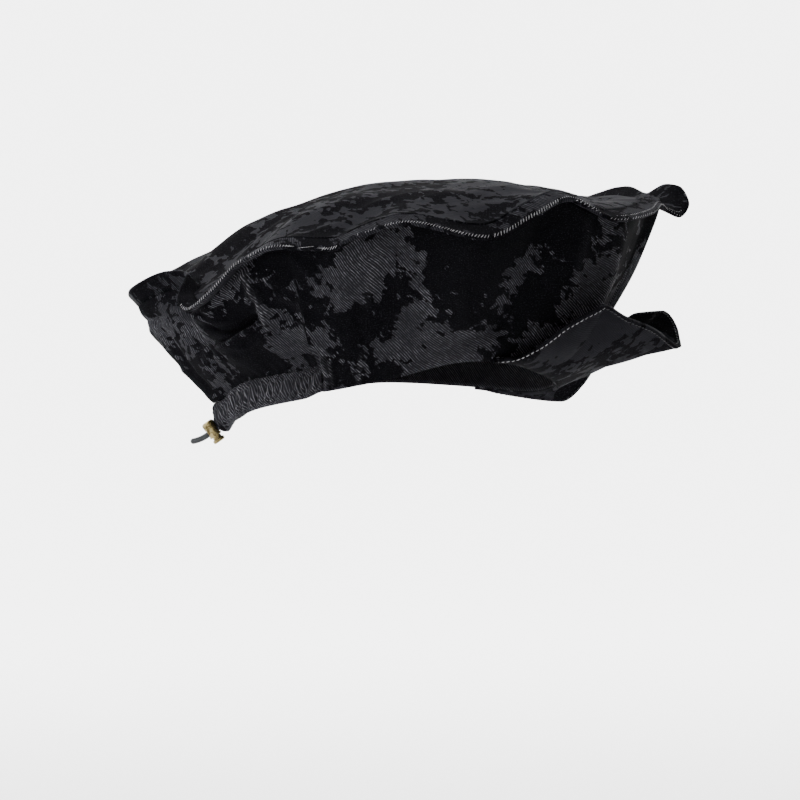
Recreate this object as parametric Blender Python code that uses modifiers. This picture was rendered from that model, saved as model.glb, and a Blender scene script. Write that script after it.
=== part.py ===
"""Painter hat: a soft cloth hat with a wide domed top, a wall that flares up to a rippled seam edge,
a waved peak, a gathered back casing, and a drawcord that comes out behind through a brass cord lock.

The origin is the middle of the head opening. +X points to the front, +Y to the wearer's left and +Z up.
Lengths are in millimetres and angles in degrees, counted from the front round towards +Y, until a mesh
is made: place() then turns them into Blender's metres.
"""

import math
from collections import namedtuple

import bmesh
import bpy
from mathutils import Matrix, Vector

MM = 0.001
WELD = 0.00001

# Cloth and gaps
CLOTH = 1.6
SEAT_GAP = 1.3
COLUMNS = 96
EDGE_STEPS = 3600
WALL_ROWS = 11
TOP_ROWS = 8

# Seam edge: the welt that stands out where the top meets the wall
WELT_THICK = 3.0
WELT_ROUND = 1.5
WELT_SIDES = 6
SEAM_RETREAT = 1.3

# Each row is a crest, a trough or a flank of the rippled edge. reach and height place the welt's outer
# rim, root_rise is how far the welt's inner side stands above that rim, and width is the welt's own: it
# is widest where it is pinched into a knob in front.
EdgeRow = namedtuple("EdgeRow", "angle reach height root_rise width")
CROWN_EDGE = (
    EdgeRow(-176, 149, 62, -8, 10),
    EdgeRow(-163, 131, 72, -9, 10),
    EdgeRow(-156.5, 125, 71, -8, 10),
    EdgeRow(-146.5, 140.5, 53.5, 2, 10),
    EdgeRow(-142.5, 141.5, 49, 4, 10),
    EdgeRow(-134, 139.5, 60, 5, 10),
    EdgeRow(-127, 138, 74, 4, 10),
    EdgeRow(-116, 136, 83, 4, 10),
    EdgeRow(-104, 136, 81.5, 5, 10),
    EdgeRow(-96, 135, 89.5, 4, 10),
    EdgeRow(-85.5, 138.5, 95.5, 4, 10),
    EdgeRow(-69, 149, 87.5, 6, 10),
    EdgeRow(-57, 147.5, 100, 6, 10),
    EdgeRow(-46, 145, 110, 3, 10),
    EdgeRow(-33, 152, 99.5, 4, 10),
    EdgeRow(-16, 157, 105, 3, 10),
    EdgeRow(-8, 158, 110, 2, 10),
    EdgeRow(-2, 160.5, 108, 4, 11),
    EdgeRow(3, 169.5, 104.5, 6, 13),
    EdgeRow(6.5, 176, 113, 0.5, 17),
    EdgeRow(9.5, 173, 122, -7, 15),
    EdgeRow(12.5, 167, 124, -7, 11),
    EdgeRow(17, 161, 118.5, -3, 8),
    EdgeRow(28, 160, 124, -6, 10),
    EdgeRow(45, 152, 113, 0, 10),
    EdgeRow(64, 147, 97, 5, 10),
    EdgeRow(85, 141, 104, 2, 10),
    EdgeRow(114, 144, 84, 5, 10),
    EdgeRow(134, 137, 88, 0, 10),
    EdgeRow(154, 147, 71, 3, 10),
    EdgeRow(172, 150.5, 58.5, -6, 10),
)

# Head opening: reach is to the inside of the cloth, and belly is how far the wall above swells outwards
RimRow = namedtuple("RimRow", "angle reach height belly")
RIM = (
    RimRow(-180, 90.5, -20, 0.3),
    RimRow(-165, 89.5, -12, 0.4),
    RimRow(-150, 88, -5.5, 0.6),
    RimRow(-120, 85, 2.5, 0.5),
    RimRow(-90, 84, 11, 0.4),
    RimRow(-60, 86, 21, 0.4),
    RimRow(-45, 88.5, 21.5, 0.45),
    RimRow(-25, 93, 15, 0.5),
    RimRow(0, 95, 7, 0.5),
    RimRow(30, 92, 2.5, 0.5),
    RimRow(60, 86, 6, 0.4),
    RimRow(90, 84, 8, 0.4),
    RimRow(120, 85, 3, 0.5),
    RimRow(150, 88, -5, 0.6),
    RimRow(165, 89.5, -12, 0.4),
)

# Top panel: how much of the rise to the crown is left at each share of the way out from its middle.
# Its edge lies round a plane that climbs to the front, and the ripples about that plane die away inwards.
DomeRow = namedtuple("DomeRow", "out rise")
DOME = (
    DomeRow(0.0, 1.0),
    DomeRow(0.13, 0.98),
    DomeRow(0.28, 0.915),
    DomeRow(0.425, 0.81),
    DomeRow(0.57, 0.69),
    DomeRow(0.685, 0.54),
    DomeRow(0.84, 0.245),
    DomeRow(0.93, 0.09),
    DomeRow(1.0, 0.0),
)
CROWN_PLACE = 20.0
CROWN_HEIGHT = 124.7
EDGE_MEAN = 87.0
EDGE_CLIMB = 0.2
RIPPLE_FADE = 3

# Folds of the wall, each a soft ridge (depth above zero) or dent from one point to another. rise is the
# share of the way up the wall.
FoldRow = namedtuple("FoldRow", "from_angle from_rise to_angle to_rise width depth")
FOLDS = (
    FoldRow(-129, 0.92, -125, 0.45, 6, 4),
    FoldRow(-136, 0.80, -134, 0.55, 9, -11),
    FoldRow(-146, 0.68, -131, 0.52, 6, -7),
    FoldRow(-148, 0.40, -127, 0.46, 5, 4),
    FoldRow(-141, 0.26, -128, 0.30, 11, 5),
    FoldRow(-149, 0.78, -155, 0.28, 5, 5),
    FoldRow(-164, 0.80, -166, 0.15, 7, 3),
    FoldRow(-174, 0.90, -176, 0.12, 6, -5),
    FoldRow(172, 0.75, 168, 0.20, 9, 4),
    FoldRow(154, 0.85, 158, 0.20, 8, -6),
    FoldRow(140, 0.70, 128, 0.35, 9, -5),
    FoldRow(-115, 0.02, -114, 0.26, 3, -3),
    FoldRow(-110, 0.60, -96, 0.30, 16, -3),
    FoldRow(-45, 1.00, -50, 0.30, 14, -4),
    FoldRow(-24, 0.95, -16, 0.35, 9, 3),
    FoldRow(44, 0.95, 50, 0.30, 12, 4),
    FoldRow(100, 0.90, 96, 0.30, 14, -4),
)
FOLD_RADIUS = 112.0
FOLD_HEIGHT = 92.0

# Back casing: the gathered channel of the drawcord
CASING_END = 115.5
CASING_HEIGHT = 14.0
CASING_HEIGHT_MORE = 3.0
CASING_THICK = 4.2
CASING_COLUMNS = 56
CASING_SIDES = 7
GATHER_DEPTH = 0.8
BUNCH_DEPTH = 6.8
BUNCH_ANGLE = 6.0
BUNCH_FOOT_SHARE = 0.35
WALL_TUCK = 1.2
FOOT_LOW_END = 111.5
FOOT_HIGH_END = 114.5

# Peak: each row runs from a root angle on the head opening to a point of the waved outer edge. belly is
# how far the cloth sags below the straight line between them, or rises above it.
PeakRow = namedtuple("PeakRow", "root_angle x y z belly")
PEAK = (
    PeakRow(-50, 60, -69, 21.5, 0),
    PeakRow(-45, 70, -72, 22.5, 2),
    PeakRow(-40, 85, -76, 29.5, 6),
    PeakRow(-33, 101, -77, 41, 10),
    PeakRow(-26, 115, -74, 48, 12),
    PeakRow(-20, 123, -70, 50, 12),
    PeakRow(-14, 134, -62, 45, 8),
    PeakRow(-8, 150, -46, 39, 2),
    PeakRow(-2, 165, -20, 29.5, -4),
    PeakRow(4, 169, 4, 31, -5),
    PeakRow(10, 168, 20, 40, 0),
    PeakRow(17, 161, 38, 49.5, 6),
    PeakRow(23, 147, 54, 49, 8),
    PeakRow(29, 131, 68, 36, 3),
    PeakRow(35, 116, 77, 14, -3),
    PeakRow(41, 103, 81, 2.5, -5),
    PeakRow(48, 86, 80, 0, -2),
    PeakRow(55, 62, 77, 3, 0),
)
PEAK_THICK = 2.4
PEAK_OFF_WALL = 4.4
PEAK_ROOT_RISE = -0.6
PEAK_COLUMNS = 40
PEAK_ROWS = 6

# Drawcord and cord lock, in the lock's own frame: +X runs back along the cord to the hat and +Z up the
# barrel. The cord's hidden end stands in the bunched casing. It bends down to a hole in the casing's
# outer corner, comes out there and goes through the lock to a rounded end.
LOCK_PLACE = (-101.3, 0.0, -19.7)
LOCK_LEAN = 35.0
CORD_WIDE = 3.4
CORD_BEND_START = 4.0
CORD_BEND_RADIUS = 8.0
CORD_BEND_TURN = 50.0
CORD_BEND_STEPS = 6
CORD_UPRIGHT = 5.2
CORD_STRAIGHT_END = -4.4
CORD_END = -12.6
CORD_SWAY = 1.8
CORD_STEPS = 8
CORD_END_ROWS = 3
CASING_HOLE_RADIUS = 2.1
CASING_HOLE_START = 2.6
CASING_HOLE_DEEPER = 0.4
CORD_HOLE = 4.0
PLUNGER_TRAVEL = 1.4
PLUNGER_RADIUS = 2.7
PLUNGER_TOP = CORD_HOLE / 2 + 1.1
PLUNGER_HEAD_RADIUS = 3.6
PLUNGER_HEAD_ROUND = 0.9
PLUNGER_FOOT = -7.2
BARREL_RADIUS = 3.8
BARREL_TOP = 6.6
BARREL_FOOT = -3.3
BARREL_DOME = 1.5
BORE_RADIUS = 3.0
BORE_TOP = PLUNGER_TOP + PLUNGER_TRAVEL + 0.25
PLUNGER_HEAD_TOP = BARREL_FOOT - PLUNGER_TRAVEL - 0.2
LOCK_SIDES = 20

DENIM = (0.012, 0.012, 0.014, 1.0)
CASING_DENIM = (0.022, 0.022, 0.026, 1.0)
BRASS = (0.36, 0.26, 0.12, 1.0)
ELASTIC = (0.03, 0.032, 0.034, 1.0)


def clear_scene():
    """Removes what the scene holds, so that the script can be run again."""
    for old in list(bpy.data.objects):
        bpy.data.objects.remove(old)


def new_collection(name):
    """A collection of the scene for the parts or the cutters."""
    made = bpy.data.collections.new(name)
    bpy.context.scene.collection.children.link(made)
    return made


def material(name, colour, roughness, metallic=0.0):
    """A plain Principled material."""
    made = bpy.data.materials.new(name)
    made.use_nodes = True
    shader = made.node_tree.nodes["Principled BSDF"]
    shader.inputs["Base Color"].default_value = colour
    shader.inputs["Roughness"].default_value = roughness
    shader.inputs["Metallic"].default_value = metallic
    return made


def slope(before, here, after, column):
    """A curve's slope at a row: level on a crest or a trough, and gentle on a flank."""
    first = (getattr(here, column) - getattr(before, column)) / (here[0] - before[0])
    second = (getattr(after, column) - getattr(here, column)) / (after[0] - here[0])
    if first * second <= 0:
        return 0.0
    return 2 * first * second / (first + second)


def read(rows, column, at):
    """A column of a table at a place between its rows, which are sorted by their first column."""
    index = 1
    while index < len(rows) - 2 and rows[index + 1][0] < at:
        index += 1
    before, low, high, after = rows[index - 1], rows[index], rows[index + 1], rows[index + 2]
    span = high[0] - low[0]
    share = (at - low[0]) / span
    start = getattr(low, column)
    end = getattr(high, column)
    leave = slope(before, low, high, column) * span
    arrive = slope(low, high, after, column) * span
    square, cube = share**2, share**3
    return (
        start * (2 * cube - 3 * square + 1)
        + leave * (cube - 2 * square + share)
        + end * (3 * square - 2 * cube)
        + arrive * (cube - square)
    )


def ring(rows):
    """A table of angles with its ends repeated one turn on, so that it reads smoothly all round."""
    turned_back = tuple(row._replace(angle=row.angle - 360) for row in rows[-3:])
    turned_on = tuple(row._replace(angle=row.angle + 360) for row in rows[:3])
    return turned_back + rows + turned_on


def open_ended(rows):
    """A table with an extra row mirrored past each end."""
    first = rows[0]._replace(**{rows[0]._fields[0]: 2 * rows[0][0] - rows[1][0]})
    last = rows[-1]._replace(**{rows[-1]._fields[0]: 2 * rows[-1][0] - rows[-2][0]})
    return (first,) + rows + (last,)


EDGE_RING = ring(CROWN_EDGE)
RIM_RING = ring(RIM)
DOME_LINE = open_ended(DOME)
PEAK_LINE = open_ended(PEAK)


def place(angle, reach, height):
    """The point in metres at an angle round the hat, a reach out from the middle and a height."""
    turn = math.radians(angle)
    return Vector((reach * math.cos(turn), reach * math.sin(turn), height)) * MM


def seam(angle):
    """The welt at an angle, as (reach, height): its root, and the ways outwards and up across it."""
    edge = Vector((read(EDGE_RING, "reach", angle), read(EDGE_RING, "height", angle)))
    rise = read(EDGE_RING, "root_rise", angle)
    inwards = math.sqrt(read(EDGE_RING, "width", angle) ** 2 - rise**2)
    root = edge + Vector((-inwards, rise))
    outwards = (edge - root).normalized()
    across = Vector((-outwards.y, outwards.x))
    return root, outwards, across


def casing_height(angle):
    """How tall the gathered casing is, tallest at the middle of the back."""
    back = (abs(angle) - CASING_END) / (180 - CASING_END)
    return CASING_HEIGHT + CASING_HEIGHT_MORE * max(0.0, back)


def bunch(angle):
    """How far the cloth bunches out where the drawcord leaves the casing."""
    away = (180 - abs(angle)) / BUNCH_ANGLE
    return BUNCH_DEPTH * math.exp(-(away**2))


def wall_seat(angle):
    """How far out the wall stands on the casing, nearly flush with the casing's outer face."""
    return read(RIM_RING, "reach", angle) + CASING_THICK + bunch(angle) - WALL_TUCK


def wall_foot(angle):
    """The lowest point of the wall's cloth: the hem in front, and the top of the casing behind."""
    height = read(RIM_RING, "height", angle)
    if abs(angle) < (FOOT_LOW_END + FOOT_HIGH_END) / 2:
        return Vector((read(RIM_RING, "reach", angle) + CLOTH / 2, height))
    return Vector((wall_seat(angle), height + casing_height(angle) + SEAT_GAP))


def on_wall(turn, rise):
    """The way over the wall, in millimetres, of a turn round the hat and a share of its height."""
    return Vector((math.radians((turn + 180) % 360 - 180) * FOLD_RADIUS, rise * FOLD_HEIGHT))


def from_fold(angle, rise, fold):
    """The distance over the wall from a point to a fold's line, in millimetres."""
    along = on_wall(fold.to_angle - fold.from_angle, fold.to_rise - fold.from_rise)
    point = on_wall(angle - fold.from_angle, rise - fold.from_rise)
    share = max(0.0, min(1.0, point.dot(along) / along.length_squared))
    return (point - along * share).length


def fold_depth(angle, rise):
    """How far the folds push the wall out at a point. They fade out at the seam and at the foot."""
    fade = min(1.0, 6 * rise) * min(1.0, 8 * (1 - rise))
    return fade * sum(
        fold.depth * math.exp(-((from_fold(angle, rise, fold) / fold.width) ** 2)) for fold in FOLDS
    )


def wall_point(angle, rise):
    """A point of the wall's middle surface, from the foot (rise 0) to the seam (rise 1)."""
    foot = wall_foot(angle)
    root, outwards, across = seam(angle)
    top = root - SEAM_RETREAT * (outwards + across)
    swell = read(RIM_RING, "belly", angle) * rise * (1 - rise)
    reach = foot.x + (top.x - foot.x) * (rise + swell) + fold_depth(angle, rise)
    return place(angle, reach, foot.y + (top.y - foot.y) * rise)


def top_point(angle, out):
    """A point of the top panel's middle surface, from its middle (out 0) to the seam (out 1)."""
    root, outwards, across = seam(angle)
    end = root - SEAM_RETREAT * (outwards - across)
    plan = place(angle, end.x, 0).lerp(Vector((CROWN_PLACE * MM, 0, 0)), 1 - out)
    plane = EDGE_MEAN + EDGE_CLIMB * end.x * math.cos(math.radians(angle))
    height = plane + (CROWN_HEIGHT - plane) * read(DOME_LINE, "rise", out)
    return plan + Vector((0, 0, height + (end.y - plane) * out**RIPPLE_FADE)) * MM


def welt_point(angle, side):
    """A corner of the welt's rounded section, counted round from its inner foot."""
    root, outwards, across = seam(angle)
    width = read(EDGE_RING, "width", angle)
    half = WELT_THICK / 2
    corners = (
        (0.0, -half),
        (width - WELT_ROUND, -half),
        (width, -half / 3),
        (width, half / 3),
        (width - WELT_ROUND, half),
        (0.0, half),
    )
    along, up = corners[side % len(corners)]
    corner = root + outwards * along + across * up
    return place(angle, corner.x, corner.y)


def column_angles():
    """The angles of the crown's columns, evenly spaced along the edge, with the casing's ends on columns."""
    walk = [0.0]
    angles = [360 * step / EDGE_STEPS - 180 for step in range(EDGE_STEPS + 1)]
    points = [place(a, read(EDGE_RING, "reach", a), read(EDGE_RING, "height", a)) for a in angles]
    for before, here in zip(points, points[1:]):
        walk.append(walk[-1] + (here - before).length)
    columns = []
    step = 0
    for column in range(COLUMNS):
        target = walk[-1] * column / COLUMNS
        while walk[step + 1] < target:
            step += 1
        columns.append(angles[step])
    for first, second in ((-FOOT_HIGH_END, -FOOT_LOW_END), (FOOT_LOW_END, FOOT_HIGH_END)):
        middle = (first + second) / 2
        after = next(index for index in range(COLUMNS) if columns[index] > middle)
        columns[after - 1] = first
        columns[after] = second
    return columns


def grid_object(name, collection, finish, columns, rows, point, closed_columns, closed_rows=False):
    """A grid primitive whose points are moved onto a surface, with the seams where it closes merged."""
    mesh = bmesh.new()
    bmesh.ops.create_grid(mesh, x_segments=columns, y_segments=rows, size=0.5)
    for vertex in mesh.verts:
        column = round((vertex.co.x + 0.5) * columns)
        row = round((vertex.co.y + 0.5) * rows)
        vertex.co = point(column % columns if closed_columns else column, row % rows if closed_rows else row)
    bmesh.ops.remove_doubles(mesh, verts=mesh.verts, dist=WELD)
    bmesh.ops.recalc_face_normals(mesh, faces=mesh.faces)
    data = bpy.data.meshes.new(name)
    mesh.to_mesh(data)
    mesh.free()
    data.shade_smooth()
    data.materials.append(finish)
    made = bpy.data.objects.new(name, data)
    collection.objects.link(made)
    return made


def thicken(shell, thick):
    """Gives a shell its cloth, half to each side."""
    wall = shell.modifiers.new("Cloth", "SOLIDIFY")
    wall.thickness = thick * MM
    wall.offset = 0.0
    wall.use_rim = True


def make_crown(collection, finish):
    """The wall, the top panel and the welt between them, on the same columns."""
    columns = column_angles()

    wall = grid_object(
        "crown_side",
        collection,
        finish,
        COLUMNS,
        WALL_ROWS,
        lambda column, row: wall_point(columns[column], row / WALL_ROWS),
        closed_columns=True,
    )
    thicken(wall, CLOTH)

    top = grid_object(
        "crown_top",
        collection,
        finish,
        COLUMNS,
        TOP_ROWS,
        lambda column, row: top_point(columns[column], row / TOP_ROWS),
        closed_columns=True,
    )
    thicken(top, CLOTH)

    grid_object(
        "crown_edge",
        collection,
        finish,
        COLUMNS,
        WELT_SIDES,
        lambda column, side: welt_point(columns[column], side),
        closed_columns=True,
        closed_rows=True,
    )


def casing_point(column, side):
    """A corner of the casing's section. Every second column stands out, as gathers do."""
    angle = CASING_END + (360 - 2 * CASING_END) * column / CASING_COLUMNS
    angle = angle if angle <= 180 else angle - 360
    reach = read(RIM_RING, "reach", angle)
    foot = read(RIM_RING, "height", angle)
    tall = casing_height(angle)
    gather = GATHER_DEPTH * (1 if column % 2 else -1)
    outer = reach + CASING_THICK + gather + bunch(angle)
    outer_foot = outer - (1 - BUNCH_FOOT_SHARE) * bunch(angle)
    corners = (
        (reach, foot + 0.08 * tall),
        ((reach + outer_foot) / 2, foot),
        (outer_foot - 0.6, foot + 0.15 * tall),
        (outer, foot + 0.5 * tall),
        (outer - 0.4, foot + 0.8 * tall),
        (wall_seat(angle), foot + tall),
        (reach, foot + 0.94 * tall),
    )
    out, height = corners[side % len(corners)]
    return place(angle, out, height)


def make_casing(collection, finish):
    """The gathered channel round the back of the opening, closed at both ends."""
    casing = grid_object(
        "back_casing",
        collection,
        finish,
        CASING_COLUMNS,
        CASING_SIDES,
        casing_point,
        closed_columns=False,
        closed_rows=True,
    )
    mesh = bmesh.new()
    mesh.from_mesh(casing.data)
    bmesh.ops.holes_fill(mesh, edges=[edge for edge in mesh.edges if edge.is_boundary])
    bmesh.ops.recalc_face_normals(mesh, faces=mesh.faces)
    mesh.to_mesh(casing.data)
    mesh.free()
    return casing


def peak_point(column, row):
    """A point of the peak's middle surface, from the root on the wall (row 0) to the waved edge."""
    share = column / PEAK_COLUMNS
    root_angle = PEAK[0].root_angle + (PEAK[-1].root_angle - PEAK[0].root_angle) * share
    reach = read(RIM_RING, "reach", root_angle) + PEAK_OFF_WALL
    height = read(RIM_RING, "height", root_angle) + PEAK_ROOT_RISE
    root = place(root_angle, reach, height)
    edge = Vector([read(PEAK_LINE, axis, root_angle) for axis in "xyz"]) * MM
    out = row / PEAK_ROWS
    sag = read(PEAK_LINE, "belly", root_angle) * 4 * out * (1 - out) * MM
    return root.lerp(edge, out) - Vector((0, 0, sag))


def make_peak(collection, finish):
    """The stiffened peak, one sheet that waves up at the sides."""
    peak = grid_object(
        "peak", collection, finish, PEAK_COLUMNS, PEAK_ROWS, peak_point, closed_columns=False
    )
    thicken(peak, PEAK_THICK)


def turned(name, collection, finish, profile):
    """A shape turned round the lock's axis, from a profile of (radius, height) points, top to bottom."""
    data = bpy.data.meshes.new(name)
    points = [(radius * MM, 0.0, height * MM) for radius, height in profile]
    data.from_pydata(points, [(i, i + 1) for i in range(len(points) - 1)], [])
    data.materials.append(finish)
    made = bpy.data.objects.new(name, data)
    collection.objects.link(made)
    screw = made.modifiers.new("Turn", "SCREW")
    screw.axis = "Z"
    screw.steps = LOCK_SIDES
    screw.render_steps = LOCK_SIDES
    screw.use_merge_vertices = True
    screw.merge_threshold = WELD
    return made


def as_cutter(name, collection, matrix):
    """Makes the primitive that was just added a cutter: named, placed by a matrix and kept out of renders."""
    cutter = bpy.context.object
    cutter.name = name
    cutter.data.transform(matrix)
    for owner in list(cutter.users_collection):
        owner.objects.unlink(cutter)
    collection.objects.link(cutter)
    cutter.hide_render = True
    cutter.display_type = "WIRE"
    return cutter


def cord_hole(name, collection, foot, top):
    """A cutter for the cord's way through the lock, along +X, from one height to another."""
    bpy.ops.mesh.primitive_cube_add(size=1)
    size = Matrix.Diagonal((4 * BARREL_RADIUS * MM, CORD_HOLE * MM, (top - foot) * MM, 1))
    return as_cutter(name, collection, Matrix.Translation((0, 0, (foot + top) / 2 * MM)) @ size)


def cut(part, cutter):
    """Cuts a part with a cutter."""
    hole = part.modifiers.new("Hole", "BOOLEAN")
    hole.operation = "DIFFERENCE"
    hole.object = cutter


def make_lock(collection, cutters, finish):
    """The cord lock: a domed barrel with a plunger that slides up into it. The cord passes through both,
    and the plunger's hole is longer by its travel, so that it clears the cord when it is pressed in."""
    frame = bpy.data.objects.new("lock_frame", None)
    collection.objects.link(frame)
    frame.location = Vector(LOCK_PLACE) * MM
    frame.rotation_euler = (0, math.radians(-LOCK_LEAN), 0)

    barrel = turned(
        "lock_barrel",
        collection,
        finish,
        (
            (0.0, BARREL_TOP),
            (BARREL_RADIUS - 2 * BARREL_DOME, BARREL_TOP - 0.2),
            (BARREL_RADIUS - 0.7 * BARREL_DOME, BARREL_TOP - 0.45 * BARREL_DOME),
            (BARREL_RADIUS - 0.1, BARREL_TOP - 1.3 * BARREL_DOME),
            (BARREL_RADIUS, 0.0),
            (BARREL_RADIUS - 0.2, BARREL_FOOT + 0.3),
            (BARREL_RADIUS - 0.5, BARREL_FOOT),
            (BORE_RADIUS, BARREL_FOOT),
            (BORE_RADIUS, BORE_TOP),
            (0.0, BORE_TOP),
        ),
    )
    plunger = turned(
        "lock_plunger",
        collection,
        finish,
        (
            (0.0, PLUNGER_TOP),
            (PLUNGER_RADIUS, PLUNGER_TOP),
            (PLUNGER_RADIUS, PLUNGER_HEAD_TOP + 0.1),
            (PLUNGER_HEAD_RADIUS, PLUNGER_HEAD_TOP - 0.1),
            (PLUNGER_HEAD_RADIUS, PLUNGER_FOOT + PLUNGER_HEAD_ROUND),
            (PLUNGER_HEAD_RADIUS - PLUNGER_HEAD_ROUND, PLUNGER_FOOT + 0.1),
            (0.0, PLUNGER_FOOT),
        ),
    )
    half = CORD_HOLE / 2
    barrel_hole = cord_hole("barrel_hole", cutters, -half, half)
    plunger_hole = cord_hole("plunger_hole", cutters, -half - PLUNGER_TRAVEL, half)
    cut(barrel, barrel_hole)
    cut(plunger, plunger_hole)
    for piece in (barrel, plunger, barrel_hole, plunger_hole):
        piece.parent = frame


def lock_matrix():
    """Takes a point of the lock's own frame, in metres, to the hat's."""
    return Matrix.Translation(Vector(LOCK_PLACE) * MM) @ Matrix.Rotation(math.radians(-LOCK_LEAN), 4, "Y")


def hidden_line(start, upright):
    """The hidden stretch's middle line in the lock's frame, from its upper end in the casing to its start."""
    points = []
    for step in range(CORD_BEND_STEPS + 1):
        turn = math.radians(CORD_BEND_TURN) * step / CORD_BEND_STEPS
        across = CORD_BEND_START + CORD_BEND_RADIUS * math.sin(turn)
        points.append(Vector((across, 0, CORD_BEND_RADIUS * (1 - math.cos(turn)))))
    onwards = math.radians(CORD_BEND_TURN)
    points.append(points[-1] + upright * Vector((math.cos(onwards), 0, math.sin(onwards))))
    points.insert(0, Vector((start, 0, 0)))
    return points[::-1]


def cord_line():
    """The cord's middle line in the lock's frame: its hidden end, then through the lock and swaying up."""
    points = hidden_line(0.0, CORD_UPRIGHT)
    for step in range(CORD_STEPS + 1):
        share = step / CORD_STEPS
        along = CORD_STRAIGHT_END + (CORD_END - CORD_STRAIGHT_END) * share
        points.append(Vector((along, 0, CORD_SWAY * share**2)))
    return points


def tube(name, line, radii, thick):
    """A round tube along a line in the lock's frame, as a curve object that is in no collection yet."""
    data = bpy.data.curves.new(name, "CURVE")
    data.dimensions = "3D"
    data.bevel_depth = thick / 2 * MM
    data.bevel_resolution = 2
    data.use_fill_caps = True
    spline = data.splines.new("POLY")
    spline.points.add(len(line) - 1)
    for target, point, radius in zip(spline.points, line, radii):
        target.co = (lock_matrix() @ (point * MM)).to_4d()
        target.radius = radius
    return bpy.data.objects.new(name, data)


def make_drawcord(collection, finish):
    """The elastic cord, a round tube with a rounded end."""
    line = cord_line()
    end = line[-1]
    tip = (end - line[-2]).normalized()
    radii = [1.0] * len(line)
    for row in range(1, CORD_END_ROWS + 1):
        turn = math.pi / 2 * row / (CORD_END_ROWS + 0.5)
        line.append(end + tip * CORD_WIDE / 2 * math.sin(turn))
        radii.append(math.cos(turn))
    cord = tube("drawcord", line, radii, CORD_WIDE)
    cord.data.materials.append(finish)
    collection.objects.link(cord)


def cut_casing_hole(casing, cutters):
    """The hole in the bunched casing that holds the cord's hidden stretch, along the cord's line."""
    line = hidden_line(CASING_HOLE_START, CORD_UPRIGHT + CASING_HOLE_DEEPER)
    guide = tube("casing_hole_guide", line, [1.0] * len(line), 2 * CASING_HOLE_RADIUS)
    cutters.objects.link(guide)
    bpy.context.view_layer.update()
    graph = bpy.context.evaluated_depsgraph_get()
    data = bpy.data.meshes.new_from_object(guide.evaluated_get(graph))
    bpy.data.objects.remove(guide)
    mesh = bmesh.new()
    mesh.from_mesh(data)
    bmesh.ops.remove_doubles(mesh, verts=mesh.verts, dist=WELD)
    bmesh.ops.recalc_face_normals(mesh, faces=mesh.faces)
    mesh.to_mesh(data)
    mesh.free()
    hole = bpy.data.objects.new("casing_hole", data)
    cutters.objects.link(hole)
    hole.hide_render = True
    hole.display_type = "WIRE"
    cut(casing, hole)


def main():
    """Builds every piece of the hat."""
    clear_scene()
    hat = new_collection("painter_hat")
    cutters = new_collection("cutters")
    denim = material("denim", DENIM, 0.9)
    casing_denim = material("casing_denim", CASING_DENIM, 0.85)
    brass = material("antique_brass", BRASS, 0.35, 1.0)
    elastic = material("elastic", ELASTIC, 0.6)

    make_crown(hat, denim)
    casing = make_casing(hat, casing_denim)
    make_peak(hat, denim)
    make_lock(hat, cutters, brass)
    make_drawcord(hat, elastic)
    cut_casing_hole(casing, cutters)


main()
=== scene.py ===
# %% [markdown]
# A painter hat in flocked denim.
# The real hat is cut from one washed denim, printed all over with patches of black velvet flock.
# A wide domed top and a wall that flares up to meet it are sewn together in a standing welt, a waved
# peak stands out in front, and the back is drawn in by a cord that comes out through a brass lock.
# The solids of the construction are read first, and every piece below is built around them.
# %% Load the frame
import math
from collections import namedtuple
from contextlib import contextmanager

import bmesh
import bpy
import numpy as np
from mathutils import Matrix, Vector, noise


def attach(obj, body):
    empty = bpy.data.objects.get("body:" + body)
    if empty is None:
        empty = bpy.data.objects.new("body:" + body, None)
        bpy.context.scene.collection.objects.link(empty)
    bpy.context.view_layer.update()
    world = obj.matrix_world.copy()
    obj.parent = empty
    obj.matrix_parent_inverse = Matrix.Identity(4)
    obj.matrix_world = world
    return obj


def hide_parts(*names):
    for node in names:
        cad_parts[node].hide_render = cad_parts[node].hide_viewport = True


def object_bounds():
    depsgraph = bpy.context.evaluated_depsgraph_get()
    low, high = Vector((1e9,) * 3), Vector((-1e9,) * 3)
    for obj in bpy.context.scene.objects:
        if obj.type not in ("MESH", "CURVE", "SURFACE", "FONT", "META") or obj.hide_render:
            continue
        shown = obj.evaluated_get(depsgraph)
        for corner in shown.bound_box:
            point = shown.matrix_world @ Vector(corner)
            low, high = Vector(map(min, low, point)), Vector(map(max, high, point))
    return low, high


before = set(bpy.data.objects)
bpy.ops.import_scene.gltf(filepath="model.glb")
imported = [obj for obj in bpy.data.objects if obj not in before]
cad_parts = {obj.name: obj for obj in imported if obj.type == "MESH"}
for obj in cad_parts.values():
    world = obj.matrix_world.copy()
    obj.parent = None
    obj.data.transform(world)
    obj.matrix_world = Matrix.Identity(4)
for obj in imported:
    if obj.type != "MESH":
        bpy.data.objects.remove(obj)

cad_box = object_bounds()
MM = 0.001
BODY = "hat"

# %% [markdown]
# A few helpers save repeating the same lines. One puts an object into the scene, one opens a mesh and
# closes it again, one turns a profile round an axis and one starts a material. The last gives the rows of
# a table named columns, so that a list of sizes reads like the one on a paper pattern.
# %% Small helpers
WELD = 0.00001


def put(name, data):
    """A new object in the scene, made from a mesh, a camera or a light."""
    made = bpy.data.objects.new(name, data)
    bpy.context.scene.collection.objects.link(made)
    return made


@contextmanager
def edited(mesh):
    """A mesh that is open for editing until the block ends."""
    work = bmesh.new()
    work.from_mesh(mesh)
    yield work
    work.to_mesh(mesh)
    work.free()


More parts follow.
